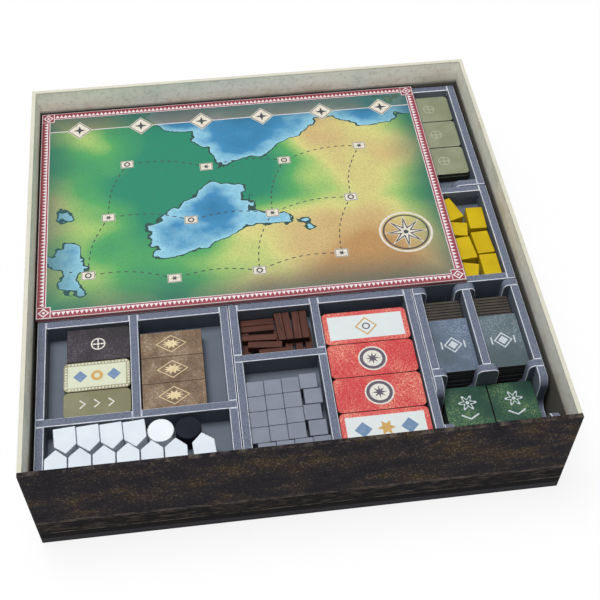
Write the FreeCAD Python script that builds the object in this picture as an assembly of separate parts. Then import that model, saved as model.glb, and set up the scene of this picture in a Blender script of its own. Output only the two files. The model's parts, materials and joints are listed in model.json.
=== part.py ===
"""A board game box base with a slot-together foam tray insert, a playing board and the pieces stored in it.

The frame stands at the middle of the box's underside: X to the right, Y to the back, Z up, in millimetres.
"""
import FreeCAD, Part
import math
import os

from FreeCAD import Vector

# Rigid box: greyboard, printed paper outside and in
box_width = 297.0
box_depth = 297.0
box_height = 75.0
greyboard = 2.0
paper = 0.25
turn_in = 16.0

# Foam sheet, its joints and the room between trays
foam = 5.0
tab_length = 14.0
side_play = 2.0
end_play = 0.8
tray_gap = 0.5
lay_gap = 0.1

# Tray grid
rim_room = 20.2
upper_tray_height = 17.8
middle_column_share = 0.4982
front_row_depth = 110.3

# Finger notches
ear_reach = 3.9
shoulder_radius = 3.7
notch_root_radius = 6.5
notch_depth = 22.8
scoop_shoulder = 6.5
scoop_ear = 4.5
scoop_root_radius = 5.5
wide_notch = 23.0
wide_shoulder = 5.6
wide_notch_depth = 9.5
wide_root_radius = 3.0
cut_over = 2.0

# Playing board
board_thickness = 2.4
board_side_play = 0.9
board_right_gap = 32.5
board_back_play = 1.5
board_front_gap = 0.3

# Card tiles and tokens
card = 2.0
pile_gap = 0.6
pile_shift = 0.12
flat_pile_count = 5
token_card = 2.5
token_pile_count = 4
dark_tile_width = 36.0
dark_tile_depth = 23.4
token_width = 37.6
token_depth = 19.6
token_radius = 3.0
olive_tile_depth = 17.0
left_cell_share = 0.5
brown_tile_width = 35.7
brown_tile_depth = 17.8
brown_gap = 0.2
brown_pile_count = 3

# White and black wooden pieces
house_width = 12.2
house_height = 11.5
house_roof = 5.4
house_interleave = 2.0
house_gap = 0.7
house_play = 0.7
house_side_play = 0.2
front_row_setback = 1.2
rear_row_shortfall = 3
rear_house_offset = 4.9
rear_house_gap = 0.4
rear_house_turn = 4.0
last_house_turn = 5.0
last_house_shift = 2.2
last_house_setback = 1.6
disc_diameter = 14.5
disc_height = 11.5
disc_gap = 0.5
disc_setback = 1.5

# Grey cubes and brown sticks
cube = 10.0
cube_columns = 4
cube_rows = 5
cube_gap = 0.15
cube_side_play = 1.5
cube_rise = 0.3
stick_length = 20.0
stick_thickness = 4.3
stick_play = 1.2
stick_spread = 0.3
stick_end_room = 0.5
stick_rear_rows = 2
leaning_sticks = 2
leaning_turn = 3.5
loose_turns = (0.0, -5.0, -3.0)
loose_shifts = (9.0, 3.0, 0.0)

# Large tokens
large_token_count = 4
large_token_play = 0.75
large_token_strip = 6.3
large_token_gap = 0.2

# Slate and moss tiles in the deep tray
slate_tile_width = 23.5
slate_tile_length = 37.7
slate_top_room = 5.0
tile_play = 0.75
upright_count = 7
upright_gap = 0.15
upright_room = 2.5
moss_top_room = 13.0
moss_end_play = 0.6

# Olive piles and yellow bars in the right column
rear_pile_count = 3
rear_pile_layers = 3
rear_tile_width = 30.0
rear_tile_radius = 2.5
rear_finger_room = 11.0
rear_pile_gap = 0.3
bar_width = 11.0
bar_length = 18.0
bar_height = 9.0
bar_wall_play = 1.0

# Box faces and heights
wall = greyboard + 2.0 * paper
inner_x = box_width / 2.0 - wall
inner_y = box_depth / 2.0 - wall
floor_z = greyboard + 2.0 * paper
tray_top = box_height - rim_room
upper_bottom = tray_top - upper_tray_height
lower_top = upper_bottom - lay_gap

# Limits of the tray columns and rows
slate_bay_width = slate_tile_width + 2.0 * tile_play
right_column_width = 3.0 * foam + 2.0 * slate_bay_width
right_x1 = inner_x - side_play
right_x0 = right_x1 - right_column_width
middle_x1 = right_x0 - tray_gap
left_x0 = side_play - inner_x
middle_column_width = middle_column_share * (middle_x1 - left_x0 - tray_gap)
middle_x0 = middle_x1 - middle_column_width
left_x1 = middle_x0 - tray_gap
front_y0 = end_play - inner_y
front_y1 = front_y0 + front_row_depth
rear_y0 = front_y1 + tray_gap
rear_y1 = inner_y - end_play
heap_depth = 3.9 * bar_length
middle_right_y1 = rear_y0 + heap_depth + 2.0 * foam
rear_right_y0 = middle_right_y1 + tray_gap


def block(x0, x1, y0, y1, z0, z1):
    """A box between two corners."""
    return Part.makeBox(x1 - x0, y1 - y0, z1 - z0, Vector(x0, y0, z0))


def save(name, *solids):
    """Write one node: a single solid, or a group of separate solids."""
    clean = [solid.removeSplitter() for solid in solids]
    shape = clean[0] if len(clean) == 1 else Part.makeCompound(clean)
    shape.exportStep("parts/" + name + ".step")


def share(taker, giver, keep):
    """Divide the volume where two panels cross: the taker has what lies in keep, the giver the rest."""
    crossing = taker.common(giver)
    return taker.cut(crossing.cut(keep)), giver.cut(crossing.common(keep))


def arc(start, middle, end):
    """An arc edge through three points."""
    return Part.Arc(start, middle, end).toShape()


def notch_outline(place, u0, u1, root_z, top_z, shoulder, root):
    """Face of a finger notch between u0 and u1: convex shoulders at the top, rounded corners at the root."""
    bend = math.sqrt(0.5)
    out = shoulder * (1.0 - bend)
    turn = root * (1.0 - bend)
    left_top = place(u0 - shoulder, top_z)
    left_side = place(u0, top_z - shoulder)
    left_low = place(u0, root_z + root)
    left_root = place(u0 + root, root_z)
    right_root = place(u1 - root, root_z)
    right_low = place(u1, root_z + root)
    right_side = place(u1, top_z - shoulder)
    right_top = place(u1 + shoulder, top_z)
    right_over = place(u1 + shoulder, top_z + cut_over)
    left_over = place(u0 - shoulder, top_z + cut_over)
    edges = [
        arc(left_top, place(u0 - out, top_z - out), left_side),
        Part.makeLine(left_side, left_low),
        arc(left_low, place(u0 + turn, root_z + turn), left_root),
        Part.makeLine(left_root, right_root),
        arc(right_root, place(u1 - turn, root_z + turn), right_low),
        Part.makeLine(right_low, right_side),
        arc(right_side, place(u1 + out, top_z - out), right_top),
        Part.makeLine(right_top, right_over),
        Part.makeLine(right_over, left_over),
        Part.makeLine(left_over, left_top),
    ]
    return Part.Face(Part.Wire(edges))


class Tray:
    """A foam tray: a floor and upright panels that tab into it, with laps where panels cross."""

    def __init__(self, x0, x1, y0, y1, z0, z1):
        self.x0, self.x1, self.y0, self.y1, self.z0, self.z1 = x0, x1, y0, y1, z0, z1
        self.in_x0 = x0 + foam
        self.in_x1 = x1 - foam
        self.in_y0 = y0 + foam
        self.in_y1 = y1 - foam
        self.floor_top = z0 + foam
        self.floor = block(x0, x1, y0, y1, z0, self.floor_top)
        self.panels = {}
        self.long_panel("left", x0, y0, y1)
        self.long_panel("right", self.in_x1, y0, y1)
        self.cross_panel("front", y0, x0, x1)
        self.cross_panel("back", self.in_y1, x0, x1)

    def long_panel(self, name, x, y_from, y_to):
        """An upright panel that runs front to back, from its left face at x."""
        self.panels[name] = block(x, x + foam, y_from, y_to, self.z0, self.z1)

    def cross_panel(self, name, y, x_from, x_to):
        """An upright panel that runs left to right, from its front face at y."""
        self.panels[name] = block(x_from, x_to, y, y + foam, self.z0, self.z1)

    def layer(self, low, high):
        """All of the tray between two shares of the panels' height above the floor."""
        rise = self.z1 - self.floor_top
        z_low = self.floor_top + low * rise
        z_high = self.floor_top + high * rise
        return block(self.x0, self.x1, self.y0, self.y1, z_low, z_high)

    def lap(self, over, under):
        """Half-lap two panels: the first passes through the upper half of the second."""
        keep = self.layer(0.5, 1.0)
        self.panels[over], self.panels[under] = share(self.panels[over], self.panels[under], keep)

    def pin(self, tabbed, slotted):
        """Let the first panel's tab pass through a slot in the middle third of the second."""
        keep = self.layer(1.0 / 3.0, 2.0 / 3.0)
        self.panels[tabbed], self.panels[slotted] = share(self.panels[tabbed], self.panels[slotted], keep)

    def pin_corners(self, *ends):
        """Pin end walls into both side walls."""
        for end in ends:
            self.pin(end, "left")
            self.pin(end, "right")

    def notch_cross(self, name, u0, u1, root_z, shoulder, root):
        """Cut a finger notch into a panel that runs left to right."""
        y = self.panels[name].BoundBox.YMin
        face = notch_outline(lambda u, z: Vector(u, y, z), u0, u1, root_z, self.z1, shoulder, root)
        self.panels[name] = self.panels[name].cut(face.extrude(Vector(0.0, foam, 0.0)))

    def notch_long(self, name, u0, u1, root_z, shoulder, root):
        """Cut a finger notch into a panel that runs front to back."""
        x = self.panels[name].BoundBox.XMin
        face = notch_outline(lambda u, z: Vector(x, u, z), u0, u1, root_z, self.z1, shoulder, root)
        self.panels[name] = self.panels[name].cut(face.extrude(Vector(foam, 0.0, 0.0)))

    def tabs(self, panel):
        """Two tab volumes, at a quarter and three quarters of a panel's run, through the floor."""
        box = panel.BoundBox
        volumes = []
        for share_of_run in (0.25, 0.75):
            if box.XLength > box.YLength:
                middle = box.XMin + share_of_run * box.XLength
                spans = (middle - tab_length / 2.0, middle + tab_length / 2.0, box.YMin, box.YMax)
            else:
                middle = box.YMin + share_of_run * box.YLength
                spans = (box.XMin, box.XMax, middle - tab_length / 2.0, middle + tab_length / 2.0)
            volumes.append(block(*spans, self.z0, self.floor_top))
        return Part.makeCompound(volumes)

    def seat(self):
        """Tab every panel into the floor."""
        for name, panel in self.panels.items():
            self.panels[name], self.floor = share(panel, self.floor, self.tabs(panel))

    def save_floor(self, node):
        """Write the floor panel."""
        save(node, self.floor)

    def save_panels(self, node, *names):
        """Write upright panels as one group."""
        save(node, *[self.panels[name] for name in names])


def tile(x0, x1, y0, y1, z0, z1, radius):
    """A card tile with rounded corners, or square ones where the radius is nought."""
    solid = block(x0, x1, y0, y1, z0, z1)
    if radius == 0.0:
        return solid
    upright = [edge for edge in solid.Edges if edge.BoundBox.ZLength > (z1 - z0) / 2.0]
    return solid.makeFillet(radius, upright)


def pile(x0, x1, y0, y1, z0, count, thickness, radius):
    """A pile of tiles, each a little out of line with the next."""
    solids = []
    for index in range(count):
        slip_x = pile_shift * math.sin(1.9 * index)
        slip_y = pile_shift * math.cos(2.7 * index)
        z = z0 + index * thickness
        solids.append(tile(x0 + slip_x, x1 + slip_x, y0 + slip_y, y1 + slip_y, z, z + thickness, radius))
    return solids


def tile_pile(x0, x1, y0, y1, z0, count):
    """A pile of square-cornered tiles."""
    return pile(x0, x1, y0, y1, z0, count, card, 0.0)


def token_pile(x0, x1, y0, y1, z0):
    """A pile of thicker tokens with rounded corners."""
    return pile(x0, x1, y0, y1, z0, token_pile_count, token_card, token_radius)


def build_box():
    """Greyboard floor and walls, the sheet under the floor, the outer wrap and the inner liner."""
    half_x = box_width / 2.0
    half_y = box_depth / 2.0
    board_x = half_x - paper
    board_y = half_y - paper
    bare_x = board_x - greyboard
    bare_y = board_y - greyboard
    board_top = box_height - paper
    floor_top = paper + greyboard
    liner_top = board_top - turn_in
    save("bottom_sheet", block(-board_x, board_x, -board_y, board_y, 0.0, paper))
    save("box_floor_board", block(-board_x, board_x, -board_y, board_y, paper, floor_top))
    save(
        "box_wall_boards",
        block(-board_x, board_x, -board_y, -bare_y, floor_top, board_top),
        block(-board_x, board_x, bare_y, board_y, floor_top, board_top),
        block(-board_x, -bare_x, -bare_y, bare_y, floor_top, board_top),
        block(bare_x, board_x, -bare_y, bare_y, floor_top, board_top),
    )
    outside = block(-half_x, half_x, -half_y, half_y, 0.0, box_height)
    inside = block(-inner_x, inner_x, -inner_y, inner_y, 0.0, box_height)
    card_space = block(-board_x, board_x, -board_y, board_y, 0.0, board_top)
    folded = block(-bare_x, bare_x, -bare_y, bare_y, liner_top, board_top)
    save("outer_wrap", outside.cut(card_space).fuse(folded).cut(inside))
    lining = block(-bare_x, bare_x, -bare_y, bare_y, floor_top, liner_top)
    save("inner_liner", lining.cut(block(-inner_x, inner_x, -inner_y, inner_y, floor_z, liner_top)))


def build_board():
    """The flat playing board, which lies on the rear trays and stops short of the front ones."""
    x0 = board_side_play - inner_x
    x1 = inner_x - board_right_gap
    y0 = front_y1 + board_front_gap
    y1 = inner_y - board_back_play
    z0 = tray_top + lay_gap
    save("playing_board", block(x0, x1, y0, y1, z0, z0 + board_thickness))


def build_front_left():
    """Front left tray with its tile piles, houses and discs."""
    tray = Tray(left_x0, left_x1, front_y0, front_y1, upper_bottom, tray_top)
    rear_depth = dark_tile_depth + token_depth + olive_tile_depth + 4.0 * pile_gap
    cross_y = tray.in_y1 - rear_depth - foam
    short_x = tray.in_x0 + left_cell_share * (tray.in_x1 - tray.in_x0 - foam)
    tray.cross_panel("cross", cross_y, tray.x0, tray.x1)
    tray.long_panel("short", short_x, cross_y, tray.y1)
    tray.pin_corners("front", "back")
    tray.lap("cross", "left")
    tray.lap("cross", "right")
    tray.lap("short", "cross")
    tray.lap("short", "back")
    tray.seat()
    tray.save_floor("front_left_floor")
    tray.save_panels("front_left_walls", "left", "right", "front", "back")
    tray.save_panels("front_left_dividers", "cross", "short")
    z0 = tray.floor_top + lay_gap
    build_left_piles(short_x - pile_gap, tray.in_y1 - pile_gap, z0)
    build_brown_piles(short_x + foam + pile_gap, cross_y + foam + pile_gap / 2.0, z0)
    build_houses(tray, cross_y, z0)


def build_left_piles(x1, y1, z0):
    """Dark, bordered and olive piles, one before another, against the short divider."""
    dark_y = y1 - dark_tile_depth
    save("dark_tile_pile", *tile_pile(x1 - dark_tile_width, x1, dark_y, y1, z0, flat_pile_count))
    token_y1 = dark_y - pile_gap
    token_y0 = token_y1 - token_depth
    save("bordered_token_pile", *token_pile(x1 - token_width, x1, token_y0, token_y1, z0))
    olive_y1 = token_y0 - pile_gap
    olive_y0 = olive_y1 - olive_tile_depth
    save("olive_tile_pile", *token_pile(x1 - token_width, x1, olive_y0, olive_y1, z0))


def build_brown_piles(x0, y0, z0):
    """Brown piles in a row from the cross divider to the back."""
    for index in range(brown_pile_count):
        y = y0 + index * (brown_tile_depth + brown_gap)
        solids = tile_pile(x0, x0 + brown_tile_width, y, y + brown_tile_depth, z0, flat_pile_count)
        save("brown_tile_pile_%d" % (index + 1), *solids)


def house(x, y_base, y_tip, z0):
    """A five-sided wooden house piece that points along Y, with its base on y_base."""
    way = math.copysign(1.0, y_tip - y_base)
    eaves = y_tip - way * house_roof
    half = house_width / 2.0
    outline = [(x - half, y_base), (x + half, y_base), (x + half, eaves), (x, y_tip), (x - half, eaves)]
    points = [Vector(u, v, z0) for u, v in outline]
    face = Part.Face(Part.makePolygon(points + points[:1]))
    return face.extrude(Vector(0.0, 0.0, house_height))


def turn_about_centre(solid, turn):
    """Turn a lying piece about the upright through its middle."""
    solid.rotate(solid.BoundBox.Center, Vector(0.0, 0.0, 1.0), turn)


def disc(x, y, z0):
    """A wooden disc that lies flat."""
    return Part.makeCylinder(disc_diameter / 2.0, disc_height, Vector(x, y, z0))


def build_houses(tray, cross_y, z0):
    """Two rows of houses, point to point, and the discs at the end of the rear row."""
    front = tray.in_y0 + house_play
    rear = cross_y - house_play
    length = (rear - front + house_interleave) / 2.0
    base = front + front_row_setback
    pitch = house_width + house_gap
    first = tray.in_x0 + house_side_play + house_width / 2.0
    count = int((tray.in_x1 - tray.in_x0 - house_side_play - last_house_shift) / pitch)
    row = [house(first + index * pitch, base, base + length, z0) for index in range(count)]
    turn_about_centre(row[-1], last_house_turn)
    row[-1].translate(Vector(last_house_shift, last_house_setback, 0.0))
    save("house_row_front", *row)
    start = first + rear_house_offset
    rear_pitch = house_width + rear_house_gap
    rear_count = count - rear_row_shortfall
    row = [house(start + index * rear_pitch, rear, rear - length, z0) for index in range(rear_count)]
    for solid in row:
        turn_about_centre(solid, rear_house_turn)
    save("house_row_rear", *row)
    disc_x = start + (rear_count - 0.5) * rear_pitch + disc_diameter / 2.0 + disc_gap
    disc_y = cross_y - disc_setback - disc_diameter / 2.0
    save("white_disc", disc(disc_x, disc_y, z0))
    save("black_disc", disc(disc_x + disc_diameter + disc_gap, disc_y, z0))


def build_front_middle():
    """Front middle tray with its sticks, cubes and large tokens."""
    tray = Tray(middle_x0, middle_x1, front_y0, front_y1, upper_bottom, tray_top)
    cell_width = cube_columns * (cube + cube_gap) + 2.0 * cube_side_play
    middle_x = tray.in_x0 + cell_width
    stick_step = stick_thickness + stick_spread
    stick_cell_depth = stick_length + stick_rear_rows * stick_step + 2.0 * stick_play + stick_end_room
    cross_y = tray.in_y1 - stick_cell_depth - foam
    tray.long_panel("middle", middle_x, tray.y0, tray.y1)
    tray.cross_panel("cross", cross_y, tray.x0, middle_x + foam)
    tray.pin_corners("front", "back")
    tray.lap("middle", "front")
    tray.lap("middle", "back")
    tray.lap("cross", "left")
    tray.lap("cross", "middle")
    tray.seat()
    tray.save_floor("front_middle_floor")
    tray.save_panels("front_middle_walls", "left", "right", "front", "back")
    tray.save_panels("front_middle_dividers", "middle", "cross")
    z0 = tray.floor_top + lay_gap
    build_sticks(tray.in_x0, middle_x, cross_y + foam, tray.in_y1, z0)
    build_cubes(tray, z0)
    build_large_tokens(middle_x + foam, tray, z0)


def stick(x, y, z0, turn):
    """A square stick centred on x and y, turned about the upright."""
    reach = stick_length / 2.0
    half = stick_thickness / 2.0
    solid = block(x - reach, x + reach, y - half, y + half, z0, z0 + stick_thickness)
    turn_about_centre(solid, turn)
    return solid


def build_sticks(x0, x1, y0, y1, z0):
    """A loose heap: a lower layer along the walls, with leaning and crossing sticks on top of it."""
    save("wooden_sticks", *lower_sticks(x0, x1, y0, y1, z0), *upper_sticks(x0, x1, y0, y1, z0))


def lower_sticks(x0, x1, y0, y1, z0):
    """Rows along the back wall, one stick along the left wall and a spread row along the right one."""
    half = stick_thickness / 2.0
    step = stick_thickness + stick_spread
    left = x0 + stick_play + stick_length / 2.0
    along = y0 + stick_play + stick_length / 2.0
    rows = [y1 - stick_play - half - index * step for index in range(stick_rear_rows)]
    sticks = [stick(left, y, z0, 0.0) for y in rows]
    sticks.append(stick(x0 + stick_play + half, along, z0, 90.0))
    start = x0 + stick_length + stick_spread
    room = x1 - stick_play - start
    count = int((room + stick_spread) / step)
    pitch = (room - stick_thickness) / (count - 1)
    return sticks + [stick(start + half + index * pitch, along, z0, 90.0) for index in range(count)]


def upper_sticks(x0, x1, y0, y1, z0):
    """Leaning and straight sticks that point to the back wall, and loose ones that cross the lower layer."""
    half = stick_thickness / 2.0
    step = stick_thickness + stick_spread
    top = z0 + stick_thickness + lay_gap / 2.0
    lean = stick_length / 2.0 * math.sin(math.radians(leaning_turn))
    start = x0 + stick_play + stick_length + stick_spread + lean + half
    count = int((x1 - start - lean - half) / step) + 1
    turns = [leaning_turn if index < leaning_sticks else 0.0 for index in range(count)]
    along = y1 - stick_play - stick_length / 2.0
    sticks = []
    for index, turn in enumerate(turns):
        x = start + index * step if turn else start + index * step + lean
        sticks.append(stick(x, along, top, 90.0 + turn))
    widest = max(abs(turn) for turn in loose_turns)
    pitch = step + stick_length / 2.0 * math.sin(math.radians(widest))
    for index, turn in enumerate(loose_turns):
        x = x0 + stick_play + stick_length / 2.0 + loose_shifts[index]
        sticks.append(stick(x, y0 + stick_play + half + index * pitch, top, turn))
    return sticks


def build_cubes(tray, z0):
    """Cubes in rows from the front: the first row stands to the right, the last column a little apart."""
    pitch = cube + cube_gap
    last = cube_columns - 1
    cubes = []
    for row in range(cube_rows):
        for column in range(cube_columns):
            x = tray.in_x0 + cube_gap + column * pitch
            y = tray.in_y0 + cube_gap + row * pitch + column * cube_rise
            if row == 0:
                x += 2.0 * cube_side_play - cube_gap
            elif column == last:
                x += cube_side_play * (row % 2)
                y += cube_rise * row
            cubes.append(block(x, x + cube, y, y + cube, z0, z0 + cube))
    save("grey_cubes", *cubes)


def build_large_tokens(x0, tray, z0):
    """Four piles of large tokens from the front wall to the back."""
    pitch = (tray.in_y1 - tray.in_y0 - large_token_strip) / large_token_count
    depth = pitch - large_token_gap
    for index in range(large_token_count):
        y = tray.in_y0 + large_token_gap + index * pitch
        left = x0 + large_token_play
        right = tray.in_x1 - large_token_play
        solids = token_pile(left, right, y, y + depth - large_token_gap, z0)
        save("large_token_pile_%d" % (large_token_count - index), *solids)


def build_front_right():
    """Deep front right tray: notched cross walls, scooped side walls, slate and moss tiles."""
    tray = Tray(right_x0, right_x1, front_y0, front_y1, floor_z, tray_top)
    bay_depth = slate_tile_length + upright_count * (card + upright_gap) + upright_room
    middle_y = tray.in_y1 - bay_depth - foam
    divider_x = tray.in_x0 + slate_bay_width
    tray.cross_panel("middle", middle_y, tray.x0, tray.x1)
    tray.long_panel("divider", divider_x, middle_y, tray.y1)
    root_z = tray.z1 - notch_depth
    for name in ("back", "middle"):
        for bay_x in (tray.in_x0, divider_x + foam):
            u0 = bay_x + ear_reach
            u1 = bay_x + slate_bay_width - ear_reach
            tray.notch_cross(name, u0, u1, root_z, shoulder_radius, notch_root_radius)
    scoop_reach = scoop_ear + scoop_shoulder
    for name in ("left", "right"):
        u0 = tray.in_y0 + scoop_reach
        u1 = middle_y - scoop_reach
        tray.notch_long(name, u0, u1, root_z, scoop_shoulder, scoop_root_radius)
    tray.pin_corners("front")
    for name in ("back", "middle"):
        tray.lap(name, "left")
        tray.lap(name, "right")
        tray.pin("divider", name)
    tray.seat()
    tray.save_floor("front_right_floor")
    tray.save_panels("front_right_side_walls", "left", "right")
    tray.save_panels("front_right_back_wall", "back")
    tray.save_panels("front_right_middle_wall", "middle")
    tray.save_panels("front_right_front_wall", "front")
    tray.save_panels("front_right_divider", "divider")
    build_slate_tiles(tray, divider_x, middle_y + foam)
    build_moss_tiles(tray, middle_y)


def build_slate_tiles(tray, divider_x, y0):
    """A flat pile of slate tiles in each bay, with upright ones behind it."""
    z0 = tray.floor_top + lay_gap
    count = int((tray.z1 - z0 - slate_top_room) / card)
    for side, bay_x in (("left", tray.in_x0), ("right", divider_x + foam)):
        x0 = bay_x + tile_play
        x1 = x0 + slate_tile_width
        near = y0 + pile_gap / 2.0
        solids = tile_pile(x0, x1, near, near + slate_tile_length, z0, count)
        save("slate_pile_" + side, *solids)
        last = tray.in_y1 - pile_gap / 2.0 - card
        pitch = card + upright_gap
        rank = [last - index * pitch for index in range(upright_count)]
        uprights = [block(x0, x1, y, y + card, z0, z0 + slate_tile_length) for y in rank]
        save("upright_tiles_" + side, *uprights)


def build_moss_tiles(tray, middle_y):
    """Two piles of moss tiles side by side in the front bay."""
    z0 = tray.floor_top + lay_gap
    width = (tray.in_x1 - tray.in_x0 - 3.0 * tile_play) / 2.0
    count = int((tray.z1 - z0 - moss_top_room) / card)
    y1 = middle_y - moss_end_play
    y0 = tray.in_y0 + 3.0 * moss_end_play
    left = tray.in_x0 + tile_play
    for side, x0 in (("left", left), ("right", left + width + tile_play)):
        save("moss_pile_" + side, *tile_pile(x0, x0 + width, y0, y1, z0, count))


def build_rear_right():
    """Rear right tray: a front wall with a wide finger notch, and olive tile piles along the right wall."""
    tray = Tray(right_x0, right_x1, rear_right_y0, rear_y1, upper_bottom, tray_top)
    middle = (tray.x0 + tray.x1) / 2.0
    u0 = middle - wide_notch / 2.0
    u1 = middle + wide_notch / 2.0
    tray.notch_cross("front", u0, u1, tray.z1 - wide_notch_depth, wide_shoulder, wide_root_radius)
    tray.pin_corners("front", "back")
    tray.seat()
    tray.save_floor("rear_right_floor")
    tray.save_panels("rear_right_walls", "left", "right", "back")
    tray.save_panels("rear_right_notched_wall", "front")
    z0 = tray.floor_top + lay_gap
    x1 = tray.in_x1 - tile_play
    pitch = (tray.in_y1 - tray.in_y0 - rear_finger_room) / rear_pile_count
    for index in range(rear_pile_count):
        y1 = tray.in_y1 - rear_pile_gap - index * pitch
        y0 = y1 - pitch + 2.0 * rear_pile_gap
        x0 = x1 - rear_tile_width
        solids = pile(x0, x1, y0, y1, z0, rear_pile_layers, token_card, rear_tile_radius)
        save("rear_olive_pile_%d" % (index + 1), *solids)


def bar(x, y, z0, turn):
    """A yellow wooden bar, lying flat, turned from the front-to-back direction."""
    half_x = bar_width / 2.0
    half_y = bar_length / 2.0
    solid = block(x - half_x, x + half_x, y - half_y, y + half_y, z0, z0 + bar_height)
    solid.rotate(Vector(x, y, z0), Vector(0.0, 0.0, 1.0), turn)
    return solid


def build_middle_right():
    """Middle right tray and the yellow bars strewn in it."""
    tray = Tray(right_x0, right_x1, rear_y0, middle_right_y1, upper_bottom, tray_top)
    tray.pin_corners("front", "back")
    tray.seat()
    tray.save_floor("middle_right_floor")
    tray.save_panels("middle_right_walls", "left", "right", "front", "back")
    z0 = tray.floor_top + lay_gap
    right = tray.in_x1 - bar_wall_play - bar_width / 2.0
    front = tray.in_y0 + bar_wall_play + bar_length / 2.0
    # Places in bar widths from the right wall and bar lengths from the front wall, with a turn in degrees
    places = [
        (0.00, 0.00, 0.0),
        (0.05, 1.06, 3.0),
        (0.00, 2.22, -2.0),
        (1.55, -0.09, 75.0),
        (1.16, 0.86, 5.0),
        (1.50, 1.80, 80.0),
        (1.42, 2.72, 20.0),
        (3.20, 0.20, -18.0),
        (2.95, 2.58, 12.0),
        (3.38, 1.38, 62.0),
    ]
    bars = [bar(right - i * bar_width, front + j * bar_length, z0, turn) for i, j, turn in places]
    save("yellow_bars", *bars)


def build_rear_tray():
    """Rear tray under the playing board, with two dividers that lap each other and the walls."""
    tray = Tray(left_x0, middle_x1, rear_y0, rear_y1, floor_z, tray_top)
    tray.long_panel("long", (tray.x0 + tray.x1 - foam) / 2.0, tray.y0, tray.y1)
    tray.cross_panel("cross", (tray.y0 + tray.y1 - foam) / 2.0, tray.x0, tray.x1)
    tray.pin_corners("front", "back")
    tray.lap("long", "front")
    tray.lap("long", "back")
    tray.lap("cross", "left")
    tray.lap("cross", "right")
    tray.lap("cross", "long")
    tray.seat()
    tray.save_floor("rear_tray_floor")
    tray.save_panels("rear_tray_walls", "left", "right", "front", "back")
    tray.save_panels("rear_tray_dividers", "long", "cross")


def build_lower_trays():
    """Trays under the shallow ones: a front one with a divider, and a right one."""
    front = Tray(left_x0, middle_x1, front_y0, front_y1, floor_z, lower_top)
    front.long_panel("divider", (front.x0 + front.x1 - foam) / 2.0, front.y0, front.y1)
    front.pin_corners("front", "back")
    front.lap("divider", "front")
    front.lap("divider", "back")
    front.seat()
    front.save_floor("lower_front_floor")
    front.save_panels("lower_front_walls", "left", "right", "front", "back")
    front.save_panels("lower_front_divider", "divider")
    right = Tray(right_x0, right_x1, rear_y0, rear_y1, floor_z, lower_top)
    right.pin_corners("front", "back")
    right.seat()
    right.save_floor("lower_right_floor")
    right.save_panels("lower_right_walls", "left", "right", "front", "back")


os.makedirs("parts", exist_ok=True)
build_box()
build_board()
build_front_left()
build_front_middle()
build_front_right()
build_rear_right()
build_middle_right()
build_rear_tray()
build_lower_trays()
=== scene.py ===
"""Looks of an open board game box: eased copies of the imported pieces, printed ink and a plain studio."""
import json
import logging
import math
from dataclasses import dataclass, field
from enum import Enum, auto
from typing import Any, Callable, Iterable, Optional, Union

import bmesh
import bpy
import numpy as np
from mathutils import Matrix, Vector

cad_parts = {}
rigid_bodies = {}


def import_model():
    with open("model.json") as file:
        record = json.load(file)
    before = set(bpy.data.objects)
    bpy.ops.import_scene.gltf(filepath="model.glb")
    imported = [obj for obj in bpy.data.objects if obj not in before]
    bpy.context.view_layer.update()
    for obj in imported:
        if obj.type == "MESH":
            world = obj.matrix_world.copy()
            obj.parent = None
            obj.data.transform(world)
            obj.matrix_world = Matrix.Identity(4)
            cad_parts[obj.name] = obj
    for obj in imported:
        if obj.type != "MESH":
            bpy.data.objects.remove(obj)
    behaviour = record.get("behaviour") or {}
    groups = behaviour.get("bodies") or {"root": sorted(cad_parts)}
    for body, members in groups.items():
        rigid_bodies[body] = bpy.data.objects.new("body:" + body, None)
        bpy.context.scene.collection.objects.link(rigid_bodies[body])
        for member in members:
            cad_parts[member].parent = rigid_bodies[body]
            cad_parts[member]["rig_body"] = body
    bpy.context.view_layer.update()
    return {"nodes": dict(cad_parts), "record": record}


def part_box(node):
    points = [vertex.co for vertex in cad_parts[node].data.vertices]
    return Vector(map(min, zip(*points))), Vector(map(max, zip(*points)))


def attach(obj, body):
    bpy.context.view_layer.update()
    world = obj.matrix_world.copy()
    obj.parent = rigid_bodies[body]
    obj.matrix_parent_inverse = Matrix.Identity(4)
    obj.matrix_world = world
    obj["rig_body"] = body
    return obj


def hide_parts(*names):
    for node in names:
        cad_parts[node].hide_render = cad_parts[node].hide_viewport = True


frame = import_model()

MM = 0.001
MERGE = 0.001 * MM
INK_STEP_MM = 0.02
SMOOTH_ANGLE = math.radians(35.0)
FLAT_ANGLE = math.radians(0.5)
STEEP = 0.7
RGBA = {"data_type": "RGBA"}
SEEDED = {"noise_dimensions": "4D"}
WHITE = "#ffffff"

log = logging.getLogger("board_game_box")
Colour = tuple[float, float, float, float]
Socket = bpy.types.NodeSocket
Tree = bpy.types.NodeTree
Paint = Union[str, Socket]
Inputs = dict[Any, Any]
Patches = list[np.ndarray]
BODY_OF = {node: thing["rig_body"] for node, thing in frame["nodes"].items()}
SLOT_OF = {part["node"]: part["material_slot"] for part in frame["record"]["subparts"]}


def linear(hex_colour: str) -> Colour:
    """Turn an sRGB hex colour into linear light.

    Args:
        hex_colour: six hex digits after a hash.

    Returns:
        Linear red, green and blue, with an alpha of 1.
    """
    parts = np.array([int(hex_colour[at:at + 2], 16) for at in (1, 3, 5)]) / 255.0
    light = np.where(parts <= 0.04045, parts / 12.92, ((parts + 0.055) / 1.055) ** 2.4)
    return (float(light[0]), float(light[1]), float(light[2]), 1.0)


def per_mm(size: float) -> float:
    """Texture scale, in features per metre, of a feature so many millimetres wide."""
    return 1.0 / (size * MM)


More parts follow.
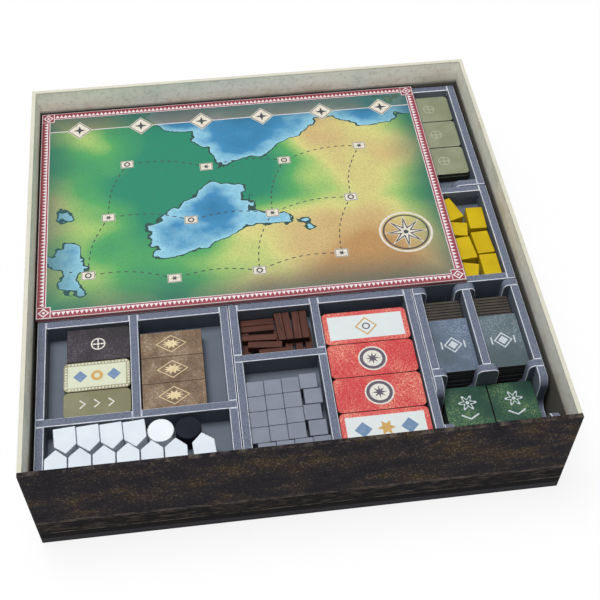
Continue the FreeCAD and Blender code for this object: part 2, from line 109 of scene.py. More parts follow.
def add(tree: Tree, kind: str, inputs: Optional[Inputs] = None, settings: Union[str, dict] = "",
        out: Any = 0) -> Any:
    """Add a node with its settings and links.

    Args:
        tree: the material's node tree.
        kind: the node's type without its prefix.
        inputs: a value, a hex colour or a socket for each input, by name or number.
        settings: node properties by name, or just the operation; "stops" fills a colour ramp.
        out: name or number of the output to hand on, or several of them.

    Returns:
        The chosen output socket, or a list of them.
    """
    node = tree.nodes.new("ShaderNode" + kind)
    if isinstance(settings, str):
        settings = {"operation": settings} if settings else {}
    for name, value in settings.items():
        if name == "stops":
            fill_ramp(node.color_ramp, value)
        else:
            setattr(node, name, value)
    for key, value in (inputs or {}).items():
        if isinstance(value, bpy.types.NodeSocket):
            tree.links.new(value, node.inputs[key])
        else:
            node.inputs[key].default_value = linear(value) if isinstance(value, str) else value
    return [node.outputs[at] for at in out] if isinstance(out, tuple) else node.outputs[out]


def fill_ramp(ramp: bpy.types.ColorRamp, stops: tuple[tuple[float, str], ...]) -> None:
    """Set a colour ramp's stops, each a place and a hex colour."""
    for index, (place, colour) in enumerate(stops):
        stop = ramp.elements[index] if index < 2 else ramp.elements.new(place)
        stop.position = place
        stop.color = linear(colour)


def tint(tree: Tree, ground: Paint, ink: Paint, guide: Socket, span: tuple[float, float, float],
         mask: Optional[Socket] = None) -> Socket:
    """Cover a ground with an ink as a guide value rises.

    Args:
        tree: the material's node tree.
        ground: colour below.
        ink: colour on top.
        guide: the value that says how much ink there is.
        span: guide value where the ink starts, where it is strongest, and its share there.
        mask: share of the ink that is let through.

    Returns:
        The tinted colour.
    """
    low, high, most = span
    share = add(tree, "MapRange", {"Value": guide, "From Min": low, "From Max": high, "To Max": most})
    if mask is not None:
        share = add(tree, "Math", {0: share, 1: mask}, "MULTIPLY")
    return add(tree, "Mix", {0: share, 6: ground, 7: ink}, RGBA, 2)


def side_rooms(tree: Tree, place: Socket, folded: bool = True) -> list[Socket]:
    """Distances to the sides of a piece, from its own centre and half size.

    Args:
        tree: the material's node tree.
        place: object coordinates.
        folded: measure to the nearer of two sides, instead of always to the right, rear and top sides.

    Returns:
        The distances along X, Y and Z.
    """
    centre = add(tree, "Attribute", None, {"attribute_name": "centre"}, "Vector")
    half = add(tree, "Attribute", None, {"attribute_name": "half"}, "Vector")
    local = add(tree, "VectorMath", {0: place, 1: centre}, "SUBTRACT")
    if folded:
        local = add(tree, "VectorMath", {0: local}, "ABSOLUTE")
    room = add(tree, "VectorMath", {0: half, 1: local}, "SUBTRACT")
    return add(tree, "SeparateXYZ", {0: room}, out=(0, 1, 2))


@dataclass(frozen=True)
class Finish:
    """A surface finish that draws itself as a node material."""

    name: str

    def material(self) -> bpy.types.Material:
        """Return the finish's material, drawn on first use."""
        made = bpy.data.materials.get(self.name)
        if made is None:
            made = bpy.data.materials.new(self.name)
            made.use_nodes = True
            tree = made.node_tree
            tree.nodes.clear()
            surface = self.surface(tree, add(tree, "TexCoord", out="Object"))
            output = tree.nodes.new("ShaderNodeOutputMaterial")
            tree.links.new(add(tree, "BsdfPrincipled", surface), output.inputs[0])
        return made

    def surface(self, tree: Tree, place: Socket) -> Inputs:
        """Draw the finish on object coordinates and return the Principled shader's inputs."""
        raise NotImplementedError


@dataclass(frozen=True)
class FoamFace(Finish):
    """Skin of closed-cell foam sheet: matt and even, with a faint cloudiness and fine pits."""

    tone: str = "#69717d"
    shade: str = "#5e6672"
    cloud_mm: float = 14.0
    pit_mm: float = 0.8

    def surface(self, tree: Tree, place: Socket) -> Inputs:
        """Cloud two tones of the foam and pit it."""
        cloud = add(tree, "TexNoise", {"Vector": place, "Scale": per_mm(self.cloud_mm), "Detail": 4.0})
        pits = add(tree, "TexNoise", {"Vector": place, "Scale": per_mm(self.pit_mm), "Detail": 2.0})
        bump = add(tree, "Bump", {"Strength": 0.25, "Distance": 0.1 * MM, "Height": pits})
        colour = add(tree, "Mix", {0: cloud, 6: self.shade, 7: self.tone}, RGBA, 2)
        return {"Base Color": colour, "Normal": bump, "Roughness": 0.78, "Specular IOR Level": 0.2}


@dataclass(frozen=True)
class FoamCut(Finish):
    """Knife-cut edge of foam sheet: open cells show as fine dark specks in a slightly bluer grey."""

    tone: str = "#6f7688"
    cell: str = "#565d6e"
    cell_mm: float = 0.9

    def surface(self, tree: Tree, place: Socket) -> Inputs:
        """Speckle the cut edge with open cells."""
        cells = add(tree, "TexVoronoi", {"Vector": place, "Scale": per_mm(self.cell_mm)})
        bump = add(tree, "Bump", {"Strength": 0.3, "Distance": 0.1 * MM, "Height": cells})
        colour = tint(tree, self.cell, self.tone, cells, (0.15, 0.6, 1.0))
        return {"Base Color": colour, "Normal": bump, "Roughness": 0.82, "Specular IOR Level": 0.2}


@dataclass(frozen=True)
class ScuffedFilm(Finish):
    """Thin film of one colour, such as a painted highlight on eased edges or a printing ink, broken a little
    by scuffs.
    """

    tone: str
    scuff: str
    scuff_mm: float = 1.6

    def surface(self, tree: Tree, place: Socket) -> Inputs:
        """Scuff the film towards its second colour."""
        noise = add(tree, "TexNoise", {"Vector": place, "Scale": per_mm(self.scuff_mm), "Detail": 5.0})
        return {"Base Color": tint(tree, self.tone, self.scuff, noise, (0.5, 0.8, 1.0)), "Roughness": 0.55}


@dataclass(frozen=True)
class ParchmentLiner(Finish):
    """Uncoated liner paper with a parchment print: soft, matt and a little fibrous.

    The print is pale and stained and rubbed at the rim. Below the trays' tops it is darkened as painted shade
    of the narrow gap between trays and wall. Each pair of heights says where such a change starts and where
    it is complete.
    """

    cloud_mm: float = 30.0
    speck_mm: float = 3.0
    fibre_mm: float = 1.0
    stain_heights_mm: tuple[float, float] = (67.0, 59.0)
    # Heights and colour of the painted shade of the gap below the trays' tops
    gap_shade_heights_mm: tuple[float, float] = (59.5, 56.5)
    rim_heights_mm: tuple[float, float] = (73.5, 74.6)
    ground: tuple[tuple[float, str], ...] = (
        (0.30, "#dce0d3"), (0.46, "#eeefe3"), (0.60, "#f3f1e6"), (0.74, "#e0d7c2"))
    speck_ink: str = "#a2967c"
    stain_ink: str = "#a8987a"
    gap_shade_ink: str = "#2b2823"
    rim_tone: str = "#c6c2ae"

    def colour(self, tree: Tree, place: Socket) -> Socket:
        """Colour of the print: stained clouds and specks, changed by height, with painted shade below the
        trays' tops.
        """
        cloud = add(tree, "TexNoise", {"Vector": place, "Scale": per_mm(self.cloud_mm), "Detail": 6.0,
                                       "Roughness": 0.6})
        ground = add(tree, "ValToRGB", {0: cloud}, {"stops": self.ground})
        speck = add(tree, "TexNoise", {"Vector": place, "Scale": per_mm(self.speck_mm), "Detail": 5.0,
                                       "Roughness": 0.7})
        colour = tint(tree, ground, self.speck_ink, speck, (0.52, 0.76, 0.6))
        height = add(tree, "SeparateXYZ", {0: place}, out=2)
        start, full = self.stain_heights_mm
        low = add(tree, "MapRange", {"Value": height, "From Min": start * MM, "From Max": full * MM})
        colour = tint(tree, colour, self.stain_ink, cloud, (0.36, 0.62, 0.6), low)
        # The first pass paints the gap's shade below the trays' tops; the second tints the rubbed rim
        for ink, (start, full), share in ((self.gap_shade_ink, self.gap_shade_heights_mm, 0.9),
                                          (self.rim_tone, self.rim_heights_mm, 0.7)):
            colour = tint(tree, colour, ink, height, (start * MM, full * MM, share))
        return colour

    def surface(self, tree: Tree, place: Socket) -> Inputs:
        """Print the paper and raise its fibres."""
        fibre = add(tree, "TexNoise", {"Vector": place, "Scale": per_mm(self.fibre_mm), "Detail": 4.0})
        bump = add(tree, "Bump", {"Strength": 0.25, "Distance": 0.08 * MM, "Height": fibre})
        return {"Base Color": self.colour(tree, place), "Normal": bump, "Roughness": 0.8}


@dataclass(frozen=True)
class LithoWrap(Finish):
    """Matt-laminated litho print on wrap paper: dark and mottled, bronze flecks and a ruled band low down.

    The paper is dark outside and on the front rim, and parchment-coloured where it folds over the other rims.
    """

    fold: ParchmentLiner
    half_side_mm: float = 148.5
    height_mm: float = 75.0
    wall_mm: float = 2.5
    wear_mm: float = 0.6
    mottle_mm: float = 26.0
    fleck_mm: float = 1.0
    fibre_mm: float = 0.9
    scratch_mm: float = 1.6
    rub_mm: float = 7.0
    rule_heights_mm: tuple[float, ...] = (24.0, 22.6, 11.0)
    rule_mm: float = 0.7
    band_mm: tuple[float, float] = (12.0, 22.0)
    foot_mm: float = 6.0
    ground: tuple[tuple[float, str], ...] = (
        (0.34, "#161519"), (0.47, "#211f24"), (0.55, "#2a2524"), (0.62, "#3c301f"), (0.69, "#26232a"))
    fleck_ink: str = "#75695c"
    band_ink: str = "#100f10"
    speckle_ink: str = "#4d463f"
    rule_ink: str = "#6d645c"
    foot_ink: str = "#39373b"
    rubbed_tone: str = "#776c62"

    def surface(self, tree: Tree, place: Socket) -> Inputs:
        """Mottle the dark print, rule its band and fold the pale print over the rim."""
        dark = self._worn(tree, place, self._rules(tree, place, self._mottle(tree, place)))
        pale = self.fold.colour(tree, place)
        colour = add(tree, "Mix", {0: self._pale_share(tree, place), 6: dark, 7: pale}, RGBA, 2)
        fibre = add(tree, "TexNoise", {"Vector": place, "Scale": per_mm(self.fibre_mm), "Detail": 3.0})
        bump = add(tree, "Bump", {"Strength": 0.2, "Distance": 0.06 * MM, "Height": fibre})
        return {"Base Color": colour, "Normal": bump, "Roughness": 0.6, "Specular IOR Level": 0.03}

    def _mottle(self, tree: Tree, place: Socket) -> Socket:
        """Dark clouds drawn out along the wall, with bronze flecks that gather in the warmer ones."""
        drawn = add(tree, "VectorMath", {0: place, 1: (0.7, 0.7, 1.5)}, "MULTIPLY")
        cloud = add(tree, "TexNoise", {"Vector": drawn, "Scale": per_mm(self.mottle_mm), "Detail": 9.0,
                                       "Roughness": 0.74, "Distortion": 0.3})
        ground = add(tree, "ValToRGB", {0: cloud}, {"stops": self.ground})
        fleck = add(tree, "TexNoise", {"Vector": place, "Scale": per_mm(self.fleck_mm), "Detail": 4.0,
                                       "Roughness": 0.7})
        patch = add(tree, "MapRange", {"Value": cloud, "From Min": 0.46, "From Max": 0.62, "To Min": 0.2})
        return tint(tree, ground, self.fleck_ink, fleck, (0.54, 0.64, 0.9), patch)

    def _rules(self, tree: Tree, place: Socket, ground: Socket) -> Socket:
        """Broken rules round the box, a darker speckled band between them and a slightly bluer foot."""
        height = add(tree, "SeparateXYZ", {0: place}, out=2)
        drawn = add(tree, "VectorMath", {0: place, 1: (0.22, 0.22, 1.0)}, "MULTIPLY")
        wear = add(tree, "TexNoise", {"Vector": drawn, "Scale": per_mm(self.scratch_mm), "Detail": 5.0,
                                      "Roughness": 0.65})
        low, high = self.band_mm
        under = add(tree, "Math", {0: height, 1: high * MM}, "LESS_THAN")
        colour = tint(tree, ground, self.band_ink, under, (0.0, 1.0, 0.9))
        middle, reach = (low + high) / 2.0 * MM, (high - low) / 2.0 * MM
        inside = add(tree, "Math", {0: height, 1: middle, 2: reach}, "COMPARE")
        colour = tint(tree, colour, self.speckle_ink, wear, (0.48, 0.66, 0.7), inside)
        for level in self.rule_heights_mm:
            line = add(tree, "Math", {0: height, 1: level * MM, 2: self.rule_mm / 2.0 * MM}, "COMPARE")
            colour = tint(tree, colour, self.rule_ink, wear, (0.40, 0.58, 0.7), line)
        foot = (self.foot_mm * MM, (self.foot_mm - 1.5) * MM, 0.8)
        return tint(tree, colour, self.foot_ink, height, foot)

    def _worn(self, tree: Tree, place: Socket, ground: Socket) -> Socket:
        """Rub the print through along the rim and down the four corners, in patches."""
        spread = add(tree, "VectorMath", {0: place}, "ABSOLUTE")
        wide, deep, height = add(tree, "SeparateXYZ", {0: spread}, out=(0, 1, 2))
        corner = add(tree, "Math", {0: wide, 1: deep}, "MINIMUM")
        side, top = (add(tree, "MapRange", {"Value": way, "From Min": (end - self.wear_mm) * MM,
                                            "From Max": end * MM})
                     for way, end in ((corner, self.half_side_mm), (height, self.height_mm)))
        edge = add(tree, "Math", {0: side, 1: top}, "MAXIMUM")
        patch = add(tree, "TexNoise", {"Vector": place, "Scale": per_mm(self.rub_mm), "Detail": 5.0,
                                       "Roughness": 0.7})
        return tint(tree, ground, self.rubbed_tone, patch, (0.48, 0.66, 0.5), edge)

    def _pale_share(self, tree: Tree, place: Socket) -> Socket:
        """1 on the folded-over paper of the left, right and rear walls, 0 outside and on the front rim."""
        across, back = add(tree, "SeparateXYZ", {0: place}, out=(0, 1))
        limit = (self.half_side_mm - 0.02) * MM
        reach = add(tree, "Math", {0: across}, "ABSOLUTE")
        inside_x = add(tree, "Math", {0: reach, 1: limit}, "LESS_THAN")
        inside_back = add(tree, "Math", {0: back, 1: limit}, "LESS_THAN")
        rim = (self.wall_mm - self.half_side_mm) * MM
        behind_front = add(tree, "Math", {0: back, 1: rim}, "GREATER_THAN")
        inside = add(tree, "Math", {0: inside_x, 1: inside_back}, "MULTIPLY")
        return add(tree, "Math", {0: inside, 1: behind_front}, "MULTIPLY")


@dataclass(frozen=True)
class PulpCard(Finish):
    """Raw edge or face of grey pulp card: fibrous layers that lie flat, as a guillotine leaves them."""

    tone: str
    shade: str
    layer_mm: float = 0.5

    def surface(self, tree: Tree, place: Socket) -> Inputs:
        """Stretch the fibre noise along the sheet so that it reads as layers."""
        flat = add(tree, "VectorMath", {0: place, 1: (0.12, 0.12, 1.0)}, "MULTIPLY")
        layers = add(tree, "TexNoise", {"Vector": flat, "Scale": per_mm(self.layer_mm), "Detail": 3.0})
        bump = add(tree, "Bump", {"Strength": 0.3, "Distance": 0.1 * MM, "Height": layers})
        colour = add(tree, "Mix", {0: layers, 6: self.shade, 7: self.tone}, RGBA, 2)
        return {"Base Color": colour, "Normal": bump, "Roughness": 0.9}


@dataclass(frozen=True)
class PrintedCard(Finish):
    """Varnished print on die-cut card: a mottled ground with flecks, each tile shifted by its own seed."""

    tone: str
    shade: str
    fleck: str
    mottle_mm: float = 12.0
    fleck_mm: float = 0.9
    fleck_share: float = 0.6
    fleck_from: float = 0.50
    patchy: float = 0.6

    def ground(self, tree: Tree, place: Socket) -> Socket:
        """Colour of the mottled ground with gritty flecks, which gather in the cloud's light patches."""
        seed = add(tree, "Attribute", None, {"attribute_name": "seed"}, "Fac")
        cloud = add(tree, "TexNoise", {"Vector": place, "W": seed, "Scale": per_mm(self.mottle_mm),
                                       "Detail": 4.0}, SEEDED)
        base = tint(tree, self.shade, self.tone, cloud, (0.38, 0.62, 1.0))
        grit = add(tree, "TexNoise", {"Vector": place, "W": seed, "Scale": per_mm(self.fleck_mm),
                                      "Detail": 2.0, "Roughness": 0.7}, SEEDED)
        gather = add(tree, "MapRange", {"Value": cloud, "From Min": 0.452, "From Max": 0.62,
                                        "To Min": 1.0 - self.patchy})
        span = (self.fleck_from, self.fleck_from + 0.16, self.fleck_share)
        return tint(tree, base, self.fleck, grit, span, gather)

    def surface(self, tree: Tree, place: Socket) -> Inputs:
        """Cover the face with the ground."""
        return {"Base Color": self.ground(tree, place), "Roughness": 0.5, "Specular IOR Level": 0.25}


@dataclass(frozen=True)
class BorderedCard(PrintedCard):
    """Varnished print with a flecked border round a plain panel."""

    panel: str = "#e9ece6"
    panel_shade: str = "#dcdfd6"
    border_mm: float = 3.0

    def surface(self, tree: Tree, place: Socket) -> Inputs:
        """Lay the panel inside the border, at an even distance from the tile's edge."""
        wide, deep, _ = side_rooms(tree, place)
        edge = add(tree, "Math", {0: wide, 1: deep}, "MINIMUM")
        cloud = add(tree, "TexNoise", {"Vector": place, "Scale": per_mm(6.0), "Detail": 4.0})
        panel = add(tree, "Mix", {0: cloud, 6: self.panel_shade, 7: self.panel}, RGBA, 2)
        span = ((self.border_mm - 0.15) * MM, (self.border_mm + 0.15) * MM, 1.0)
        colour = tint(tree, self.ground(tree, place), panel, edge, span)
        return {"Base Color": colour, "Roughness": 0.5}


@dataclass(frozen=True)
class TerrainPrint(Finish):
    """Varnished map print: land and sea in soft colours, a shore line, gritty ink and darkened margins."""

    region_mm: float = 150.0
    coast_mm: float = 120.0
    margin_mm: float = 34.0
    sea_level: float = 0.46
    strip_mm: float = 19.0
    strip_cloud_mm: float = 60.0
    grit_mm: float = 0.8
    land_shift: tuple[float, float, float] = (0.31, 0.74, 0.12)
    sea_shift: tuple[float, float, float] = (1.27, 0.35, 0.5)
    margin_ink: str = "#154e54"
    grit_ink: str = "#40584a"
    shore_ink: str = "#24423f"
    land: tuple[tuple[float, str], ...] = ((0.37, "#1f8063"), (0.44, "#4f9f5c"), (0.485, "#9fc06c"),
                                           (0.52, "#cfca80"), (0.57, "#c9ae76"), (0.64, "#b48a58"))
    strip: tuple[tuple[float, str], ...] = ((0.38, "#4d7a5c"), (0.50, "#998a60"), (0.62, "#a5826f"))

    def surface(self, tree: Tree, place: Socket) -> Inputs:
        """Lay sea over land, tint the strip behind the track, darken the margins and speckle the ink."""
        flat = add(tree, "VectorMath", {0: place, 1: (1.0, 1.2, 0.0)}, "MULTIPLY")
        colour = self._strip(tree, place, self._sea(tree, flat, self._land(tree, flat)))
        wide, deep, _ = side_rooms(tree, place)
        near = add(tree, "Math", {0: wide, 1: deep}, "MINIMUM")
        margin = add(tree, "MapRange", {"Value": near, "From Max": self.margin_mm * MM, "To Min": 0.8,
                                        "To Max": 0.0}, {"interpolation_type": "SMOOTHSTEP"})
        colour = add(tree, "Mix", {0: margin, 6: colour, 7: self.margin_ink}, RGBA, 2)
        grit = add(tree, "TexNoise", {"Vector": place, "Scale": per_mm(self.grit_mm), "Detail": 3.0,
                                      "Roughness": 0.7})
        colour = tint(tree, colour, self.grit_ink, grit, (0.48, 0.66, 0.34))
        return {"Base Color": colour, "Roughness": 0.5, "Specular IOR Level": 0.25}

    def _land(self, tree: Tree, flat: Socket) -> Socket:
        """Land from deep green to yellow-green and tan, by a slow noise."""
        away = add(tree, "VectorMath", {0: flat, 1: self.land_shift}, "ADD")
        region = add(tree, "TexNoise", {"Vector": away, "Scale": per_mm(self.region_mm), "Detail": 3.0,
                                        "Roughness": 0.45})
        return add(tree, "ValToRGB", {0: region}, {"stops": self.land})

    def _sea(self, tree: Tree, flat: Socket, land: Socket) -> Socket:
        """Flood the low parts of another slow noise, paler at the shore, and draw the shore line."""
        away = add(tree, "VectorMath", {0: flat, 1: self.sea_shift}, "ADD")
        level = add(tree, "TexNoise", {"Vector": away, "Scale": per_mm(self.coast_mm), "Detail": 6.0,
                                       "Roughness": 0.48})
        low = self.sea_level
        depth = ((low - 0.12, "#1f6d96"), (low - 0.045, "#3c86b4"), (low - 0.004, "#93c9dc"))
        sea = add(tree, "ValToRGB", {0: level}, {"stops": depth})
        flooded = add(tree, "Math", {0: level, 1: low}, "LESS_THAN")
        both = add(tree, "Mix", {0: flooded, 6: land, 7: sea}, RGBA, 2)
        shore = add(tree, "Math", {0: level, 1: low, 2: 0.003}, "COMPARE")
        return add(tree, "Mix", {0: shore, 6: both, 7: self.shore_ink}, RGBA, 2)

    def _strip(self, tree: Tree, place: Socket, ground: Socket) -> Socket:
        """Brown and green tint behind the track, along the rear side."""
        depth = side_rooms(tree, place, folded=False)[1]
        inside = add(tree, "Math", {0: depth, 1: self.strip_mm * MM}, "LESS_THAN")
        cloud = add(tree, "TexNoise", {"Vector": place, "Scale": per_mm(self.strip_cloud_mm), "Detail": 4.0})
        colour = add(tree, "ValToRGB", {0: cloud}, {"stops": self.strip})
        return tint(tree, ground, colour, inside, (0.0, 1.0, 0.75))


@dataclass(frozen=True)
class PaintedWood(Finish):
    """Dipped paint on small turned or sawn wood: even colour, with the grain just showing as fine ridges."""

    tone: str
    shade: str
    grain_mm: float = 0.9
    gloss: float = 0.2

    def surface(self, tree: Tree, place: Socket) -> Inputs:
        """Run fine grain front to back and shade each piece by its own seed."""
        seed = add(tree, "Attribute", None, {"attribute_name": "seed"}, "Fac")
        along = add(tree, "VectorMath", {0: place, 1: (1.0, 0.12, 0.6)}, "MULTIPLY")
        grain = add(tree, "TexNoise", {"Vector": along, "W": seed, "Scale": per_mm(self.grain_mm),
                                       "Detail": 3.0}, SEEDED)
        cloud = add(tree, "TexNoise", {"Vector": place, "W": seed, "Scale": per_mm(11.0),
                                       "Detail": 2.0}, SEEDED)
        bump = add(tree, "Bump", {"Strength": 0.2, "Distance": 0.08 * MM, "Height": grain})
        colour = tint(tree, self.shade, self.tone, cloud, (0.3, 0.7, 1.0))
        return {"Base Color": colour, "Normal": bump, "Roughness": 0.45, "Specular IOR Level": self.gloss}


@dataclass(frozen=True)
class StainedWood(Finish):
    """Stained sawn wood: streaks run the long way of each stick."""

    tone: str
    shade: str
    streak_mm: float = 0.9

    def surface(self, tree: Tree, place: Socket) -> Inputs:
        """Squeeze the noise along the stick's own long axis, so that it draws out into streaks."""
        axis = add(tree, "Attribute", None, {"attribute_name": "axis"}, "Vector")
        seed = add(tree, "Attribute", None, {"attribute_name": "seed"}, "Fac")
        run = add(tree, "VectorMath", {0: place, 1: axis}, "DOT_PRODUCT", "Value")
        pull = add(tree, "Math", {0: run, 1: -0.93}, "MULTIPLY")
        shift = add(tree, "VectorMath", {0: axis, "Scale": pull}, "SCALE")
        drawn = add(tree, "VectorMath", {0: place, 1: shift}, "ADD")
        streaks = add(tree, "TexNoise", {"Vector": drawn, "W": seed, "Scale": per_mm(self.streak_mm),
                                         "Detail": 4.0}, SEEDED)
        bump = add(tree, "Bump", {"Strength": 0.35, "Distance": 0.1 * MM, "Height": streaks})
        colour = tint(tree, self.shade, self.tone, streaks, (0.32, 0.68, 1.0))
        return {"Base Color": colour, "Normal": bump, "Roughness": 0.6, "Specular IOR Level": 0.2}


def read(items: Any, name: str, width: int = 1, kind: type = float) -> np.ndarray:
    """Read one property of all items of a mesh's list.

    Args:
        items: the mesh's vertices, loops, polygons or attribute data.
        name: the property.
        width: how many numbers each item has.
        kind: type of the numbers.

    Returns:
        The numbers, with a row for each item where it has more than one.
    """
    values = np.empty(len(items) * width, dtype=kind)
    items.foreach_get(name, values)
    return values.reshape(-1, width) if width > 1 else values


def put(name: str, data: bpy.types.ID) -> bpy.types.Object:
    """Make an object of a mesh, a lamp or a camera and link it into the scene."""
    thing = bpy.data.objects.new(name, data)
    bpy.context.scene.collection.objects.link(thing)
    return thing


def dress(node: str, finish: Finish) -> None:
    """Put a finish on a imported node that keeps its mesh."""
    frame["nodes"][node].data.materials[0] = finish.material()


class Sorting(Enum):
    """Which faces of a copied piece take its second finish."""

    NONE = auto()
    SIDES = auto()
    CUT_EDGES = auto()
    ENDS = auto()


@dataclass(frozen=True)
class Arris:
    """How sharp edges are eased: width in millimetres, steps, and number of the eased faces' finish."""

    width_mm: float
    steps: int
    finish: int = -1


@dataclass
class Shell:
    """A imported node's surface, merged solid by solid."""

    points: np.ndarray
    triangles: np.ndarray
    solid: np.ndarray

    @classmethod
    def of_node(cls, node: str) -> "Shell":
        """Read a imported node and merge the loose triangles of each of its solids.

        Triangles of one solid follow each other, so the first two triangles on an edge belong together, and
        so do the next two where solids touch. Labels then spread over these pairs until each solid has one.

        Args:
            node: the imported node's name.

        Returns:
            The merged shell.
        """
        mesh = frame["nodes"][node].data
        steps = np.round(read(mesh.vertices, "co", 3) / MERGE).astype(np.int64)
        keys, merged = np.unique(steps, axis=0, return_inverse=True)
        corners = read(mesh.loops, "vertex_index", kind=np.int32)
        triangles = merged.reshape(-1)[corners.reshape(-1, 3)]
        label = cls._solids(triangles, len(keys))
        pairs = np.stack([np.repeat(label, 3), triangles.reshape(-1)], axis=1)
        unique, index = np.unique(pairs, axis=0, return_inverse=True)
        return cls(keys[unique[:, 1]] * MERGE, index.reshape(-1, 3), unique[:, 0])

    @staticmethod
    def _solids(triangles: np.ndarray, point_count: int) -> np.ndarray:
        """Number each triangle by its solid."""
        edges = np.concatenate([triangles[:, [0, 1]], triangles[:, [1, 2]], triangles[:, [2, 0]]])
        owner = np.tile(np.arange(len(triangles)), 3)
        key = edges.min(axis=1) * point_count + edges.max(axis=1)
        owner = owner[np.lexsort((owner, key))]
        first, second = owner[0::2], owner[1::2]
        label = np.arange(len(triangles))
        while True:
            least = np.minimum(label[first], label[second])
            spread = label.copy()
            np.minimum.at(spread, first, least)
            np.minimum.at(spread, second, least)
            if np.array_equal(spread, label):
                return np.unique(label, return_inverse=True)[1]
            label = spread

    def facts(self) -> dict[str, np.ndarray]:
        """Centre and half size of each solid's upright box, its longest way and its seed."""
        count = int(self.solid.max()) + 1
        low = np.full((count, 3), np.inf)
        high = np.full((count, 3), -np.inf)
        np.minimum.at(low, self.solid, self.points)
        np.maximum.at(high, self.solid, self.points)
        centre = (low + high) / 2.0
        spread = self.points - centre[self.solid]
        moment = np.zeros((count, 3, 3))
        np.add.at(moment, self.solid, spread[:, :, None] * spread[:, None, :])
        axis = np.linalg.eigh(moment)[1][:, :, 2]
        # The digits far behind the point of a steep sine serve as an even, fixed spread of seeds
        seed = np.modf(np.abs(np.sin(np.arange(1, count + 1) * 12.9898) * 43758.5453))[0] * 20.0
        return {"centre": centre, "half": (high - low) / 2.0, "axis": axis, "seed": seed}


@dataclass
class Copy:
    """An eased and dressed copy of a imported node, which stands for it."""

    node: str
    finishes: tuple[Finish, ...]
    sorting: Sorting
    arris: Arris

    def build(self) -> bpy.types.Object:
        """Build the copy, sort its faces, ease its edges and let it ride on the node's body.

        Returns:
            The finished object.
        """
        shell = Shell.of_node(self.node)
        facts = shell.facts()
        mesh = bpy.data.meshes.new(self.node + "_copy")
        mesh.from_pydata(shell.points, [], shell.triangles)
        self._mark(mesh, shell, facts)
        self._flatten(mesh)
        for finish in self.finishes:
            mesh.materials.append(finish.material())
        self._sort(mesh, facts)
        mesh.polygons.foreach_set("use_smooth", np.ones(len(mesh.polygons), dtype=bool))
        mesh.set_sharp_from_angle(angle=SMOOTH_ANGLE)
        piece = put(self.node + "_copy", mesh)
        self._ease(piece)
        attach(piece, BODY_OF[self.node])
        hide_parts(self.node)
        return piece

    @staticmethod
    def _mark(mesh: bpy.types.Mesh, shell: Shell, facts: dict[str, np.ndarray]) -> None:
        """Write each solid's number, centre, half size, longest way and seed on its points."""
        number = mesh.attributes.new("solid", "INT", "POINT")
        number.data.foreach_set("value", shell.solid.astype(np.int32))
        for name in ("centre", "half", "axis"):
            vectors = mesh.attributes.new(name, "FLOAT_VECTOR", "POINT")
            vectors.data.foreach_set("vector", facts[name][shell.solid].astype(np.float32).reshape(-1))
        seed = mesh.attributes.new("seed", "FLOAT", "POINT")
        seed.data.foreach_set("value", facts["seed"][shell.solid].astype(np.float32))

    @staticmethod
    def _flatten(mesh: bpy.types.Mesh) -> None:
        """Join coplanar triangles into whole faces."""
        work = bmesh.new()
        work.from_mesh(mesh)
        bmesh.ops.dissolve_limit(work, angle_limit=FLAT_ANGLE, verts=work.verts, edges=work.edges)
        work.to_mesh(mesh)
        work.free()

    def _sort(self, mesh: bpy.types.Mesh, facts: dict[str, np.ndarray]) -> None:
        """Give the second finish to the faces that the sorting names."""
        normal = read(mesh.polygons, "normal", 3)
        start = read(mesh.polygons, "loop_start", kind=np.int32)
        corners = read(mesh.loops, "vertex_index", kind=np.int32)
        solid = read(mesh.attributes["solid"].data, "value", kind=np.int32)[corners[start]]
        second = np.zeros(len(normal), dtype=bool)
        if self.sorting is Sorting.SIDES:
            second = normal[:, 2] < STEEP
        elif self.sorting is Sorting.CUT_EDGES:
            thin = facts["half"].argmin(axis=1)[solid]
            second = np.abs(normal[np.arange(len(normal)), thin]) < STEEP
        elif self.sorting is Sorting.ENDS:
            second = np.abs((normal * facts["axis"][solid]).sum(axis=1)) > STEEP
        mesh.polygons.foreach_set("material_index", second.astype(np.int32))

    def _ease(self, piece: bpy.types.Object) -> None:
        """Ease the sharp edges."""
        ease = piece.modifiers.new("eased_edges", "BEVEL")
        ease.width = self.arris.width_mm * MM
        ease.segments = self.arris.steps
        ease.limit_method = "ANGLE"
        ease.angle_limit = SMOOTH_ANGLE
        ease.material = self.arris.finish
        ease.harden_normals = True


def polar(radius: Callable[[np.ndarray], np.ndarray], steps: int) -> np.ndarray:
    """Closed outline: the point at each angle stands at the radius that the formula gives there.

    Args:
        radius: distance from the middle at an array of angles.
        steps: number of points.

    Returns:
        Points of the outline, in order.
    """
    angle = np.linspace(0.0, 2.0 * np.pi, steps, endpoint=False)
    reach = radius(angle)
    return np.stack([reach * np.cos(angle), reach * np.sin(angle)], axis=1)


def circle(size: float) -> np.ndarray:
    """Circle of a radius: the same distance at every angle."""
    return polar(lambda angle: np.full_like(angle, size), 48)


def lozenge(width: float) -> np.ndarray:
    """Lozenge, as high as wide: the four points on its axes, half its width from the middle."""
    return np.array([(1.0, 0.0), (0.0, 1.0), (-1.0, 0.0), (0.0, -1.0)]) * width / 2.0


def star(points: int, inner: float, outer: float) -> np.ndarray:
    """Star: the distance goes to and fro between two radii, once for each point."""
    def reach(angle: np.ndarray) -> np.ndarray:
        return inner + (outer - inner) * np.abs(2.0 * np.modf(angle * points / (2.0 * np.pi))[0] - 1.0)
    return polar(reach, 2 * points)


def petals(count: int, inner: float, outer: float) -> np.ndarray:
    """Flower: the distance swells smoothly between two radii with the cosine of the angle."""
    def reach(angle: np.ndarray) -> np.ndarray:
        return inner + (outer - inner) * (0.5 + 0.5 * np.cos(count * angle)) ** 1.5
    return polar(reach, 16 * count)


def rectangle(width: float, height: float) -> np.ndarray:
    """Rectangle: its four corners, half its width and height from the middle."""
    return np.array([(1.0, 1.0), (-1.0, 1.0), (-1.0, -1.0), (1.0, -1.0)]) * (width / 2.0, height / 2.0)


